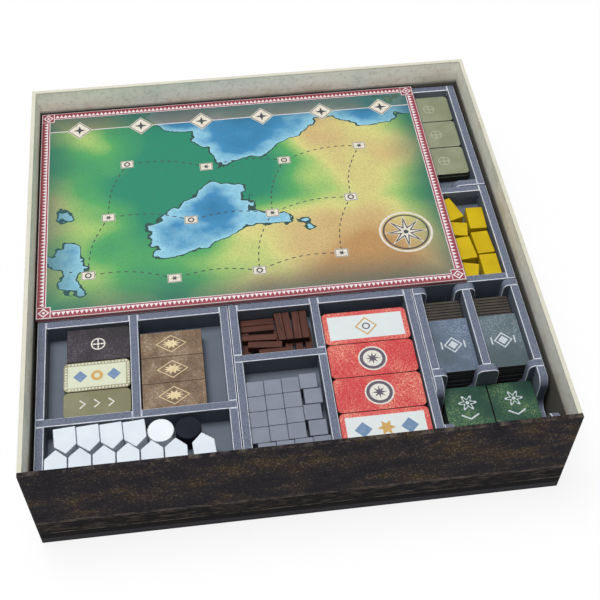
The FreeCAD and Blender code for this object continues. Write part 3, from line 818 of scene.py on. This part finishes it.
def band(inner: np.ndarray, outer: np.ndarray) -> np.ndarray:
    """Surface between two closed outlines: straight across from one to the other, round once.

    Args:
        inner: points of the inner outline.
        outer: as many points of the outer outline.

    Returns:
        A grid of points, two rows long.
    """
    rows = np.stack([inner, outer])
    return np.concatenate([rows, rows[:, :1]], axis=1)


def ring(shape: Callable[[float], np.ndarray], inner: float, outer: float) -> np.ndarray:
    """Band between two sizes of one shape."""
    return band(shape(inner), shape(outer))


def disc(outline: np.ndarray) -> np.ndarray:
    """Filled outline: a band that starts from the middle."""
    return band(outline * 0.0, outline)


def strip(path: np.ndarray, width: float) -> np.ndarray:
    """Surface along a path: the profile is a line of the given width, square to the path's direction.

    Args:
        path: points of the path, in order.
        width: width of the strip.

    Returns:
        A grid of points, two rows long.
    """
    way = np.gradient(path, axis=0)
    way = way / np.linalg.norm(way, axis=1, keepdims=True)
    side = np.stack([-way[:, 1], way[:, 0]], axis=1) * width / 2.0
    return np.stack([path - side, path + side])


def teeth(length: float, pitch: float, height: float) -> np.ndarray:
    """Row of triangles: the far line rises from the base to the height and back once for each pitch.

    Args:
        length: length of the row, centred on the middle.
        pitch: wanted width of a triangle.
        height: height of a triangle.

    Returns:
        A grid of points, two rows long.
    """
    count = 2 * int(length / pitch) + 1
    run = np.linspace(-length / 2.0, length / 2.0, count)
    rise = np.where(np.arange(count) % 2 == 1, height, 0.0)
    return np.stack([np.stack([run, run * 0.0], axis=1), np.stack([run, rise], axis=1)])


def moved(patches: Patches, place: tuple[float, float], turn: float = 0.0) -> Patches:
    """Turn patches about the middle, in degrees, and move them to a place."""
    angle = math.radians(turn)
    spin = np.array([(math.cos(angle), math.sin(angle)), (-math.sin(angle), math.cos(angle))])
    return [patch @ spin + place for patch in patches]


def stamped(patches: Patches, places: Iterable[tuple[float, float]]) -> Patches:
    """Repeat patches at several places."""
    return [patch for place in places for patch in moved(patches, place)]


@dataclass
class InkLayer:
    """Flat patches of one ink on top of a piece, in millimetres about the middle of its top."""

    name: str
    node: str
    ink: Finish
    level: int = 1
    patches: Patches = field(default_factory=list)

    def build(self) -> bpy.types.Object:
        """Lay the patches just above the top of the piece that carries them.

        Returns:
            The finished object.
        """
        low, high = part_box(self.node)
        middle = np.array(((low.x + high.x) / 2.0, (low.y + high.y) / 2.0))
        sizes = np.array([patch.shape[0] * patch.shape[1] for patch in self.patches])
        firsts = np.concatenate([[0], np.cumsum(sizes)[:-1]])
        flat = np.concatenate([patch.reshape(-1, 2) for patch in self.patches]) * MM + middle
        height = high.z + self.level * INK_STEP_MM * MM
        points = np.column_stack([flat, np.full(len(flat), height)])
        faces = np.concatenate([self._faces(patch, first) for patch, first in zip(self.patches, firsts)])
        mesh = bpy.data.meshes.new(self.name)
        mesh.from_pydata(points, [], faces)
        self._clean(mesh)
        mesh.materials.append(self.ink.material())
        piece = put(self.name, mesh)
        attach(piece, BODY_OF[self.node])
        return piece

    @staticmethod
    def _faces(patch: np.ndarray, first: int) -> np.ndarray:
        """Four-cornered faces of a grid of points whose numbers start at first."""
        rows, columns = patch.shape[:2]
        number = first + np.arange(rows * columns).reshape(rows, columns)
        corners = (number[:-1, :-1], number[1:, :-1], number[1:, 1:], number[:-1, 1:])
        return np.stack([corner.reshape(-1) for corner in corners], axis=1)

    @staticmethod
    def _clean(mesh: bpy.types.Mesh) -> None:
        """Merge points that coincide and turn every face up."""
        work = bmesh.new()
        work.from_mesh(mesh)
        bmesh.ops.remove_doubles(work, verts=work.verts, dist=MERGE)
        bmesh.ops.dissolve_degenerate(work, edges=work.edges, dist=MERGE)
        work.normal_update()
        bmesh.ops.reverse_faces(work, faces=[face for face in work.faces if face.normal.z < 0.0])
        work.to_mesh(mesh)
        work.free()


@dataclass
class Carton:
    """The rigid box: wrap, liner, sheet under the floor and the greyboard inside them."""

    liner: ParchmentLiner = ParchmentLiner("parchment_liner_paper")
    wrap: Finish = LithoWrap("matt_laminated_wrap_paper", liner)
    board: Finish = PulpCard("greyboard", tone="#7b766e", shade="#5f5b54")
    arris: Arris = Arris(width_mm=0.35, steps=2)

    def build(self) -> list[bpy.types.Object]:
        """Dress the box."""
        dress("inner_liner", self.liner)
        dress("bottom_sheet", self.wrap)
        dress("box_floor_board", self.board)
        dress("box_wall_boards", self.board)
        return [Copy("outer_wrap", (self.wrap,), Sorting.NONE, self.arris).build()]


@dataclass
class FoamTrays:
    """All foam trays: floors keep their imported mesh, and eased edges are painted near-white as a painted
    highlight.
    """

    face: Finish = FoamFace("foam_sheet_skin")
    cut: Finish = FoamCut("foam_sheet_cut_edge")
    # Near-white on the eased edges: a painted highlight where light catches the arrises
    line: Finish = ScuffedFilm("foam_edge_highlight", "#e6eaf2", "#b9c0ce", 4.0)
    arris: Arris = Arris(width_mm=0.42, steps=1, finish=2)

    def build(self) -> list[bpy.types.Object]:
        """Dress every node of the foam's slot."""
        nodes = [node for node, slot in SLOT_OF.items() if slot == "foam_sheet"]
        finishes = (self.face, self.cut, self.line)
        pieces = []
        for node in nodes:
            if node.endswith("_floor"):
                dress(node, self.face)
            else:
                pieces.append(Copy(node, finishes, Sorting.CUT_EDGES, self.arris).build())
        return pieces


@dataclass
class PlayingBoard:
    """The printed board: a map field, a border of triangles, corner squares, a track and a compass star."""

    map_print: Finish = TerrainPrint("varnished_map_print")
    edge: Finish = ScuffedFilm("red_board_edge", "#8b4a52", "#6d343c", 2.5)
    red: Finish = ScuffedFilm("dark_red_ink", "#8a2f3c", "#74222f", 2.5)
    white: Finish = ScuffedFilm("white_ink", "#e2d9dc", "#cdb4bc", 1.5)
    pale: Finish = ScuffedFilm("pale_ink", "#d9d3c4", "#b8ae9b", 2.5)
    dark: Finish = ScuffedFilm("gap_shade_ink", "#2b2f35", "#47464a", 2.5)
    arris: Arris = Arris(width_mm=0.25, steps=2)
    border_mm: float = 5.6
    bare_mm: float = 0.3
    edge_line_mm: tuple[float, float] = (0.45, 0.75)
    field_line_mm: float = 0.45
    track_line_mm: float = 0.6
    corner_mm: float = 8.6
    corner_inset_mm: float = 0.4
    tooth_mm: float = 2.7
    tooth_base_mm: float = 0.9
    tooth_room_mm: float = 2.9
    track_inset_mm: float = 19.0
    track_count: int = 6
    track_share: float = 0.40
    lozenge_mm: float = 17.0
    marker_mm: tuple[float, float] = (8.4, 6.6)
    marker_columns: tuple[float, float, int] = (-0.38, 0.22, 4)
    marker_rows: tuple[float, float, int] = (-0.36, 0.16, 3)
    marker_slant: float = 0.05
    marker_sway: float = 0.03
    dash_mm: float = 4.5
    route_mm: float = 0.7
    route_bow: float = 0.08
    compass_mm: float = 17.0
    compass_share: tuple[float, float] = (0.385, -0.26)
    width: float = field(init=False)
    depth: float = field(init=False)

    def build(self) -> list[bpy.types.Object]:
        """Build the board and its inks."""
        low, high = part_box("playing_board")
        self.width = (high.x - low.x) / MM
        self.depth = (high.y - low.y) / MM
        pieces = [Copy("playing_board", (self.map_print, self.edge), Sorting.SIDES, self.arris).build()]
        for name, ink, level, patches in (
                ("board_border_ground", self.red, 1, self._border()),
                ("board_white_ink", self.white, 2, self._lines() + self._triangles()),
                ("board_dark_ink", self.dark, 2, self._routes()),
                ("board_corner_ground", self.red, 3, self._corners(self._corner_ground())),
                ("board_pale_ink", self.pale, 3, self._medallions()),
                ("board_corner_ornament", self.white, 4, self._corners(self._ornament())),
                ("board_medallion_ink", self.dark, 4, self._medallion_marks())):
            pieces.append(InkLayer(name, "playing_board", ink, level, patches).build())
        return pieces

    def _inset(self, distance: float) -> np.ndarray:
        """Rectangle at a distance inside the board's edge."""
        return rectangle(self.width - 2.0 * distance, self.depth - 2.0 * distance)

    def _border(self) -> Patches:
        """Dark red band round the field."""
        return [band(self._inset(self.border_mm), self._inset(self.bare_mm))]

    def _lines(self) -> Patches:
        """White lines at the edge and round the field, and the track's line."""
        near, far = self.edge_line_mm
        edge = band(self._inset(far), self._inset(near))
        inner = band(self._inset(self.border_mm + self.field_line_mm), self._inset(self.border_mm))
        across = self.width / 2.0 - self.border_mm
        level = self.depth / 2.0 - self.track_inset_mm
        track = strip(np.array([(-across, level), (0.0, level), (across, level)]), self.track_line_mm)
        return [edge, inner, track]

    def _triangles(self) -> Patches:
        """White triangles along the four sides, pointing outwards."""
        rows = []
        for turn in (0, 90, 180, 270):
            length, reach = (self.depth, self.width) if turn % 180 else (self.width, self.depth)
            row = teeth(length - 2.2 * self.corner_mm, self.tooth_mm, self.border_mm - self.tooth_room_mm)
            place = np.array((0.0, reach / 2.0 - self.border_mm + self.tooth_base_mm))
            rows += moved([row + place], (0.0, 0.0), turn)
        return rows

    def _corners(self, patches: Patches) -> Patches:
        """Repeat patches in the four corner squares."""
        x = self.width / 2.0 - self.corner_mm / 2.0 - self.corner_inset_mm
        y = self.depth / 2.0 - self.corner_mm / 2.0 - self.corner_inset_mm
        return stamped(patches, ((x, y), (-x, y), (-x, -y), (x, -y)))

    def _corner_ground(self) -> Patches:
        """Red square of a corner."""
        return [disc(rectangle(self.corner_mm, self.corner_mm))]

    def _ornament(self) -> Patches:
        """White frame, lozenge and dot of a corner square."""
        side = self.corner_mm
        frame_band = band(rectangle(side - 1.2, side - 1.2), rectangle(side - 0.2, side - 0.2))
        return [frame_band, ring(lozenge, 0.55 * side, 0.8 * side), disc(circle(0.1 * side))]

    def _track_places(self) -> list[tuple[float, float]]:
        """Places of the track's lozenges."""
        across = np.linspace(-self.track_share, self.track_share, self.track_count) * self.width
        return [(float(x), self.depth / 2.0 - self.track_inset_mm) for x in across]

    def _marker_places(self) -> np.ndarray:
        """Places of the map's markers, on a slanted lattice inside the field."""
        across = np.linspace(*self.marker_columns)[:, None]
        up = np.linspace(*self.marker_rows)[None, :]
        across = across + self.marker_slant * np.arange(up.size)[None, :]
        up = up + self.marker_sway * np.cos(2.1 * np.arange(len(across)))[:, None]
        return np.stack([across * self.width, up * self.depth], axis=2)

    def _routes(self) -> Patches:
        """Dashed routes that bow between neighbouring markers."""
        places = self._marker_places()
        legs = [(places[i, j], places[i + 1, j]) for i in range(3) for j in range(3)]
        legs += [(places[i, j], places[i, j + 1]) for i in (0, 2, 3) for j in range(2)]
        dashes = []
        for start, end in legs:
            along = np.linspace(0.0, 1.0, 4 * int(np.linalg.norm(end - start) / self.dash_mm) + 1)
            bow = np.array((start[1] - end[1], end[0] - start[0])) * self.route_bow
            path = start + np.outer(along, end - start) + np.outer(np.sin(np.pi * along), bow)
            dashes += [strip(path[at:at + 3], self.route_mm) for at in range(2, len(path) - 4, 4)]
        return dashes

    def _medallions(self) -> Patches:
        """Pale grounds of the track's lozenges, the markers and the compass star."""
        side, (wide, deep), reach = self.lozenge_mm, self.marker_mm, self.compass_mm
        patches = stamped([disc(lozenge(side))], self._track_places())
        patches += stamped([disc(rectangle(wide, deep))], self._marker_places().reshape(-1, 2))
        compass = [ring(circle, reach - 1.5, reach), disc(star(8, 5.0, reach - 2.5))]
        return patches + moved(compass, self._compass_place())

    def _compass_place(self) -> tuple[float, float]:
        """Middle of the compass star."""
        across, up = self.compass_share
        return (across * self.width, up * self.depth)

    def _medallion_marks(self) -> Patches:
        """Dark outlines and signs on the pale grounds."""
        side, (wide, deep), reach = self.lozenge_mm, self.marker_mm, self.compass_mm
        sign = [ring(lozenge, side - 2.8, side - 1.4), disc(star(4, 1.4, 4.2))]
        patches = stamped(sign, self._track_places())
        outline = band(rectangle(wide - 1.2, deep - 1.2), rectangle(wide - 0.5, deep - 0.5))
        places = self._marker_places().reshape(-1, 2)
        patches += stamped([outline, ring(circle, 1.2, 2.1)], places[0::2])
        patches += stamped([outline, disc(star(6, 0.9, 2.2))], places[1::2])
        compass = [band(star(8, 2.6, 9.0), star(8, 4.2, 12.6)), disc(circle(1.6)),
                   ring(circle, reach - 3.4, reach - 2.4)]
        return patches + moved(compass, self._compass_place())


@dataclass
class TilePiles:
    """Piles of printed card tiles and tokens, with their emblems."""

    arris: Arris = Arris(width_mm=0.22, steps=2)
    raw: Finish = PulpCard("raw_card_edge", tone="#574f46", shade="#2e2a26")
    raw_dark: Finish = PulpCard("dark_card_edge", tone="#302c2a", shade="#1c1a19")
    # Near-black card for the upright tiles' eased edges: painted shade of the gaps between the standing tiles
    gap_shade_corner: Finish = PulpCard("painted_shade_card_corner", tone="#1f1b19", shade="#151211")
    raw_pale: Finish = PulpCard("pale_card_edge", tone="#8d8670", shade="#6d664f")
    dark: Finish = PrintedCard("dark_speckled_print", "#2d262f", "#1f1a20", "#8d8790",
                               fleck_mm=0.7, fleck_share=0.5, patchy=0.8)
    cream: Finish = BorderedCard("cream_bordered_print", "#9a9873", "#84825b", "#cfcdac", panel="#d3d7bd",
                                 panel_shade="#c4caaf", border_mm=2.4)
    olive: Finish = PrintedCard("olive_print", "#7f7d5f", "#757354", "#989680", fleck_share=0.4)
    sage: Finish = PrintedCard("sage_print", "#8b9076", "#80856a", "#9fa48c", fleck_share=0.4)
    brown: Finish = PrintedCard("brown_grained_print", "#7f6850", "#634c38", "#bcae9f", mottle_mm=10.0,
                                fleck_mm=0.7, fleck_share=0.7)
    red: Finish = PrintedCard("red_flecked_print", "#c8343f", "#c02737", "#f2d8b0", mottle_mm=24.0,
                              fleck_mm=0.45, fleck_share=0.9, fleck_from=0.48, patchy=0.7)
    white: Finish = BorderedCard("white_bordered_print", "#c93f40", "#c23238", "#f2d8b0", panel="#d9dfdf",
                                 panel_shade="#cdd4d4", border_mm=3.0, fleck_mm=0.55, fleck_share=0.85)
    slate: Finish = PrintedCard("slate_print", "#5f6e86", "#4d5a64", "#b4c0c6", mottle_mm=26.0,
                                fleck_mm=0.7, fleck_share=0.6, patchy=0.9)
    slate_green: Finish = PrintedCard("green_slate_print", "#5a6972", "#475559", "#a9b6ba", mottle_mm=26.0,
                                      fleck_mm=0.7, fleck_share=0.6, patchy=0.9)
    moss: Finish = PrintedCard("moss_print", "#1f4d3b", "#12352b", "#98a869", mottle_mm=22.0,
                               fleck_mm=0.6, fleck_share=0.7, patchy=0.97)
    silver: Finish = ScuffedFilm("silver_ink", "#c3ccd0", "#93a0a9")
    gold: Finish = ScuffedFilm("gold_ink", "#d9c59b", "#b89f72")
    bone: Finish = ScuffedFilm("bone_ink", "#d8d6cc", "#b5b1a6")
    faint: Finish = ScuffedFilm("faint_sage_ink", "#a3a890", "#90957c")
    blue: Finish = ScuffedFilm("blue_ink", "#5f7da0", "#8195ad")
    ochre: Finish = ScuffedFilm("ochre_ink", "#c39a50", "#a98245")
    night: Finish = ScuffedFilm("night_ink", "#49404f", "#5d5361")

    def build(self) -> list[bpy.types.Object]:
        """Dress the piles and print their emblems."""
        looks = {
            "dark_tile_pile": (self.dark, self.raw_dark),
            "bordered_token_pile": (self.cream, self.raw_pale),
            "olive_tile_pile": (self.olive, self.raw_pale),
            "large_token_pile_1": (self.white, self.raw),
            "large_token_pile_2": (self.red, self.raw),
            "large_token_pile_3": (self.red, self.raw),
            "large_token_pile_4": (self.white, self.raw),
        }
        for index in (1, 2, 3):
            looks["brown_tile_pile_%d" % index] = (self.brown, self.raw)
            looks["rear_olive_pile_%d" % index] = (self.sage, self.raw_dark)
        for side, slate in (("left", self.slate), ("right", self.slate_green)):
            looks["slate_pile_" + side] = (slate, self.raw_dark)
            looks["moss_pile_" + side] = (self.moss, self.raw_dark)
        pieces = [Copy(node, finishes, Sorting.SIDES, self.arris).build() for node, finishes in looks.items()]
        for node in ("upright_tiles_left", "upright_tiles_right"):
            # The upright tiles' eased edges take the near-black card, painted shade between the tiles
            finishes = (self.raw, self.slate, self.gap_shade_corner)
            pieces.append(Copy(node, finishes, Sorting.SIDES, Arris(width_mm=0.3, steps=1, finish=2)).build())
        return pieces + [layer.build() for layer in self._emblems()]

    def _emblems(self) -> list[InkLayer]:
        """Ink layers of all piles."""
        layers = [InkLayer("dark_tile_emblem", "dark_tile_pile", self.bone, 1, self._wheel(4.2))]
        layers += self._token_signs()
        layers += self._medallions()
        for index in (1, 2, 3):
            brown = "brown_tile_pile_%d" % index
            sage = "rear_olive_pile_%d" % index
            layers.append(InkLayer(brown + "_emblem", brown, self.gold, 1, self._sunburst()))
            layers.append(InkLayer(sage + "_emblem", sage, self.faint, 1, self._wheel(4.0)))
        for side in ("left", "right"):
            slate = "slate_pile_" + side
            moss = "moss_pile_" + side
            layers.append(InkLayer(slate + "_emblem", slate, self.silver, 1, self._lozenges()))
            layers.append(InkLayer(moss + "_emblem", moss, self.silver, 1, self._flower()))
        return layers

    @staticmethod
    def _wheel(size: float) -> Patches:
        """Ring with four spokes."""
        spokes = [strip(np.array([(0.3 * size, 0.0), (0.8 * size, 0.0)]), 0.22 * size)]
        wheel = [patch for turn in (0, 90, 180, 270) for patch in moved(spokes, (0.0, 0.0), turn)]
        return wheel + [ring(circle, 0.82 * size, size), disc(circle(0.22 * size))]

    @staticmethod
    def _lozenges() -> Patches:
        """Nested lozenges between two short bars."""
        bars = [strip(np.array([(x, -2.6), (x, 2.6)]), 0.9) for x in (-6.8, 6.8)]
        return bars + [ring(lozenge, 9.2, 11.4), disc(lozenge(6.0))]

    @staticmethod
    def _flower() -> Patches:
        """Open flower over a chevron."""
        chevron = strip(np.array([(-5.0, 1.6), (0.0, -1.4), (5.0, 1.6)]), 1.0)
        flower = [band(petals(6, 1.6, 4.0), petals(6, 2.6, 5.4)), disc(circle(1.1))]
        return moved(flower, (0.0, 8.0)) + moved([chevron], (0.0, -1.5))

    @staticmethod
    def _sunburst() -> Patches:
        """Flat star in a lozenge frame."""
        frame_band = band(lozenge(1.0) * (16.4, 11.2), lozenge(1.0) * (18.0, 12.4))
        return [disc(star(10, 2.2, 4.4)) * (1.35, 0.8), frame_band]

    @staticmethod
    def _beads(node: str, inset: float, pitch: float) -> Patches:
        """Row of small dots at a distance inside the long and short sides of a pile's top."""
        low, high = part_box(node)
        half = np.array(((high.x - low.x) / 2.0, (high.y - low.y) / 2.0)) / MM - inset
        dot = disc(polar(lambda angle: np.full_like(angle, 0.32 * pitch), 10))
        across = np.arange(-half[0] + pitch, half[0] - 0.5 * pitch, pitch)
        along = np.arange(-half[1] + pitch, half[1] - 0.5 * pitch, pitch)
        places = [(float(x), sign * half[1]) for x in across for sign in (-1.0, 1.0)]
        places += [(sign * half[0], float(y)) for y in along for sign in (-1.0, 1.0)]
        return stamped([dot], places)

    def _token_signs(self) -> list[InkLayer]:
        """Signs on the bordered, olive and white tokens."""
        row = stamped([disc(lozenge(8.0))], ((-9.5, 0.0), (9.5, 0.0)))
        chevron = [strip(np.array([(-1.8, -2.6), (1.2, 0.0), (-1.8, 2.6)]), 0.9)]
        chevrons = stamped(chevron, ((-8.0, 0.0), (0.0, 0.0), (8.0, 0.0)))
        frame_band = [ring(lozenge, 11.0, 13.4)]
        pair = stamped([disc(lozenge(10.0))], ((-13.0, 0.0), (13.0, 0.0)))
        beads = self._beads("bordered_token_pile", 1.3, 1.9)
        signs = (
            ("bordered_token_beads", "bordered_token_pile", self.bone, beads),
            ("bordered_token_lozenges", "bordered_token_pile", self.blue, row),
            ("bordered_token_ring", "bordered_token_pile", self.ochre, [ring(circle, 1.6, 3.4)]),
            ("olive_tile_chevrons", "olive_tile_pile", self.bone, chevrons),
            ("white_token_frame", "large_token_pile_1", self.ochre, frame_band),
            ("white_token_ring", "large_token_pile_1", self.night, [ring(circle, 1.6, 2.4)]),
            ("white_token_lozenges", "large_token_pile_4", self.blue, pair),
            ("white_token_star", "large_token_pile_4", self.ochre, [disc(star(6, 2.6, 5.2))]),
        )
        return [InkLayer(name, node, ink, 1, patches) for name, node, ink, patches in signs]

    def _medallions(self) -> list[InkLayer]:
        """Round medallions on the red tokens."""
        layers = []
        for index in (2, 3):
            node = "large_token_pile_%d" % index
            ground = [disc(circle(8.4))]
            wheel = [ring(circle, 5.6, 7.5), disc(star(8, 1.6, 4.2))]
            layers.append(InkLayer(node + "_ground", node, self.bone, 1, ground))
            layers.append(InkLayer(node + "_ring", node, self.night, 2, wheel))
        return layers


@dataclass
class WoodenPieces:
    """Small painted and stained wooden pieces."""

    arris: Arris = Arris(width_mm=0.45, steps=3)
    white: Finish = PaintedWood("white_painted_wood", tone="#dbe2ea", shade="#d1d9e2")
    bright: Finish = PaintedWood("bright_white_painted_wood", tone="#e8edf3", shade="#dfe5ec")
    black: Finish = PaintedWood("black_painted_wood", tone="#171b26", shade="#11141d", gloss=0.07)
    grey: Finish = PaintedWood("grey_painted_wood", tone="#828896", shade="#767c8a")
    yellow: Finish = PaintedWood("yellow_painted_wood", tone="#cbb00a", shade="#bda004")
    stick: Finish = StainedWood("brown_stained_wood", tone="#5a3428", shade="#371e17")
    stick_end: Finish = StainedWood("dark_end_grain", tone="#33201b", shade="#1f1310")

    def build(self) -> list[bpy.types.Object]:
        """Dress the wooden pieces."""
        plain = {
            "house_row_front": self.white,
            "house_row_rear": self.white,
            "white_disc": self.bright,
            "black_disc": self.black,
            "grey_cubes": self.grey,
            "yellow_bars": self.yellow,
        }
        pieces = [Copy(node, (finish,), Sorting.NONE, self.arris).build() for node, finish in plain.items()]
        finishes = (self.stick, self.stick_end)
        pieces.append(Copy("wooden_sticks", finishes, Sorting.ENDS, Arris(0.25, 2)).build())
        return pieces


@dataclass
class Studio:
    """Pale floor, soft light and the camera."""

    camera_place: Vector = field(default_factory=lambda: Vector((-43.66, -431.45, 557.38)) * MM)
    camera_target: Vector = field(default_factory=lambda: Vector((13.716, -16.558, 30.0)) * MM)
    camera_roll: float = 0.783
    lens_mm: float = 64.34
    sensor_mm: float = 36.0
    near_clip: float = 0.01
    floor_side: float = 6.0
    key_watts: float = 30.5
    key_side: float = 0.9
    key_place: Vector = field(default_factory=lambda: Vector((-0.3, 0.15, 1.85)))
    low_watts: float = 3.9
    low_side: float = 0.2
    low_place: Vector = field(default_factory=lambda: Vector((0.0, -1.3, 0.21)))
    right_watts: float = 1.6
    right_place: Vector = field(default_factory=lambda: Vector((1.3, 0.0, 0.21)))
    fill_colour: Colour = (0.97, 0.98, 1.0, 1.0)
    fill_strength: float = 0.27
    glow_share: float = 0.85

    def build(self) -> None:
        """Build floor, light and camera."""
        self._floor()
        self._world()
        self._lamp("key_light", self.key_place, self.key_side, self.key_watts)
        self._lamp("low_front_light", self.low_place, self.low_side, self.low_watts)
        self._lamp("low_right_light", self.right_place, self.low_side, self.right_watts)
        self._camera()

    def _floor(self) -> None:
        """Pale floor that shows near white to the camera and keeps a soft shadow."""
        corners = rectangle(self.floor_side, self.floor_side)
        mesh = bpy.data.meshes.new("studio_floor")
        mesh.from_pydata(np.column_stack([corners, np.zeros(4)]), [], [(0, 1, 2, 3)])
        material = bpy.data.materials.new("studio_floor_paint")
        material.use_nodes = True
        tree = material.node_tree
        tree.nodes.clear()
        place = add(tree, "TexCoord", out="Object")
        noise = add(tree, "TexNoise", {"Vector": place, "Scale": 4.0})
        tone = add(tree, "Mix", {0: noise, 6: "#f6f6f6", 7: "#fbfbfb"}, RGBA, 2)
        paint = add(tree, "BsdfDiffuse", {"Color": tone})
        glow = add(tree, "Emission", {"Color": WHITE, "Strength": 1.0})
        share = add(tree, "Math", {0: self._seen(tree), 1: self.glow_share}, "MULTIPLY")
        both = add(tree, "MixShader", {0: share, 1: paint, 2: glow})
        output = tree.nodes.new("ShaderNodeOutputMaterial")
        tree.links.new(both, output.inputs[0])
        mesh.materials.append(material)
        floor = put("studio_floor", mesh)

    @staticmethod
    def _seen(tree: Tree) -> Socket:
        """1 for rays of the camera and of mirrored or refracted sight, 0 for light."""
        rays = ("Is Camera Ray", "Is Glossy Ray", "Is Transmission Ray")
        camera, glossy, through = add(tree, "LightPath", out=rays)
        first = add(tree, "Math", {0: camera, 1: glossy}, "MAXIMUM")
        return add(tree, "Math", {0: first, 1: through}, "MAXIMUM")

    def _world(self) -> None:
        """White surroundings to the eye, and an even soft fill for the light."""
        world = bpy.data.worlds.new("studio")
        world.use_nodes = True
        tree = world.node_tree
        tree.nodes.clear()
        fill = add(tree, "Background", {"Color": self.fill_colour, "Strength": self.fill_strength})
        white = add(tree, "Background", {"Color": WHITE, "Strength": 1.0})
        both = add(tree, "MixShader", {0: self._seen(tree), 1: fill, 2: white})
        output = tree.nodes.new("ShaderNodeOutputWorld")
        tree.links.new(both, output.inputs[0])
        bpy.context.scene.world = world

    @staticmethod
    def _lamp(name: str, place: Vector, side: float, watts: float) -> None:
        """Square soft lamp that faces the middle of the box and isn't seen itself.

        Args:
            name: name of the lamp.
            place: its middle, in metres.
            side: length of its sides, in metres.
            watts: its power.
        """
        lamp = bpy.data.lights.new(name, "AREA")
        lamp.shape = "SQUARE"
        lamp.size = side
        lamp.energy = watts
        thing = put(name, lamp)
        aim = (-place).to_track_quat("-Z", "Y").to_matrix().to_4x4()
        thing.matrix_world = Matrix.Translation(place) @ aim
        thing.visible_camera = False

    def _camera(self) -> None:
        """Camera at the photograph's angle."""
        lens = bpy.data.cameras.new("camera")
        lens.lens = self.lens_mm
        lens.sensor_width = self.sensor_mm
        lens.clip_start = self.near_clip
        thing = put("camera", lens)
        sight = self.camera_target - self.camera_place
        turn = sight.to_track_quat("-Z", "Y").to_matrix().to_4x4()
        roll = Matrix.Rotation(math.radians(self.camera_roll), 4, "Z")
        thing.matrix_world = Matrix.Translation(self.camera_place) @ turn @ roll
        bpy.context.scene.camera = thing


def main() -> None:
    """Build every sub-assembly in order and report its pieces."""
    logging.basicConfig(level=logging.INFO, format="%(message)s")
    bpy.context.scene.view_settings.view_transform = "Standard"
    for assembly in (Carton(), FoamTrays(), PlayingBoard(), TilePiles(), WoodenPieces()):
        for piece in assembly.build():
            log.info("%s: %s, %d faces", type(assembly).__name__, piece.name, len(piece.data.polygons))
    Studio().build()


if __name__ == "__main__":
    main()
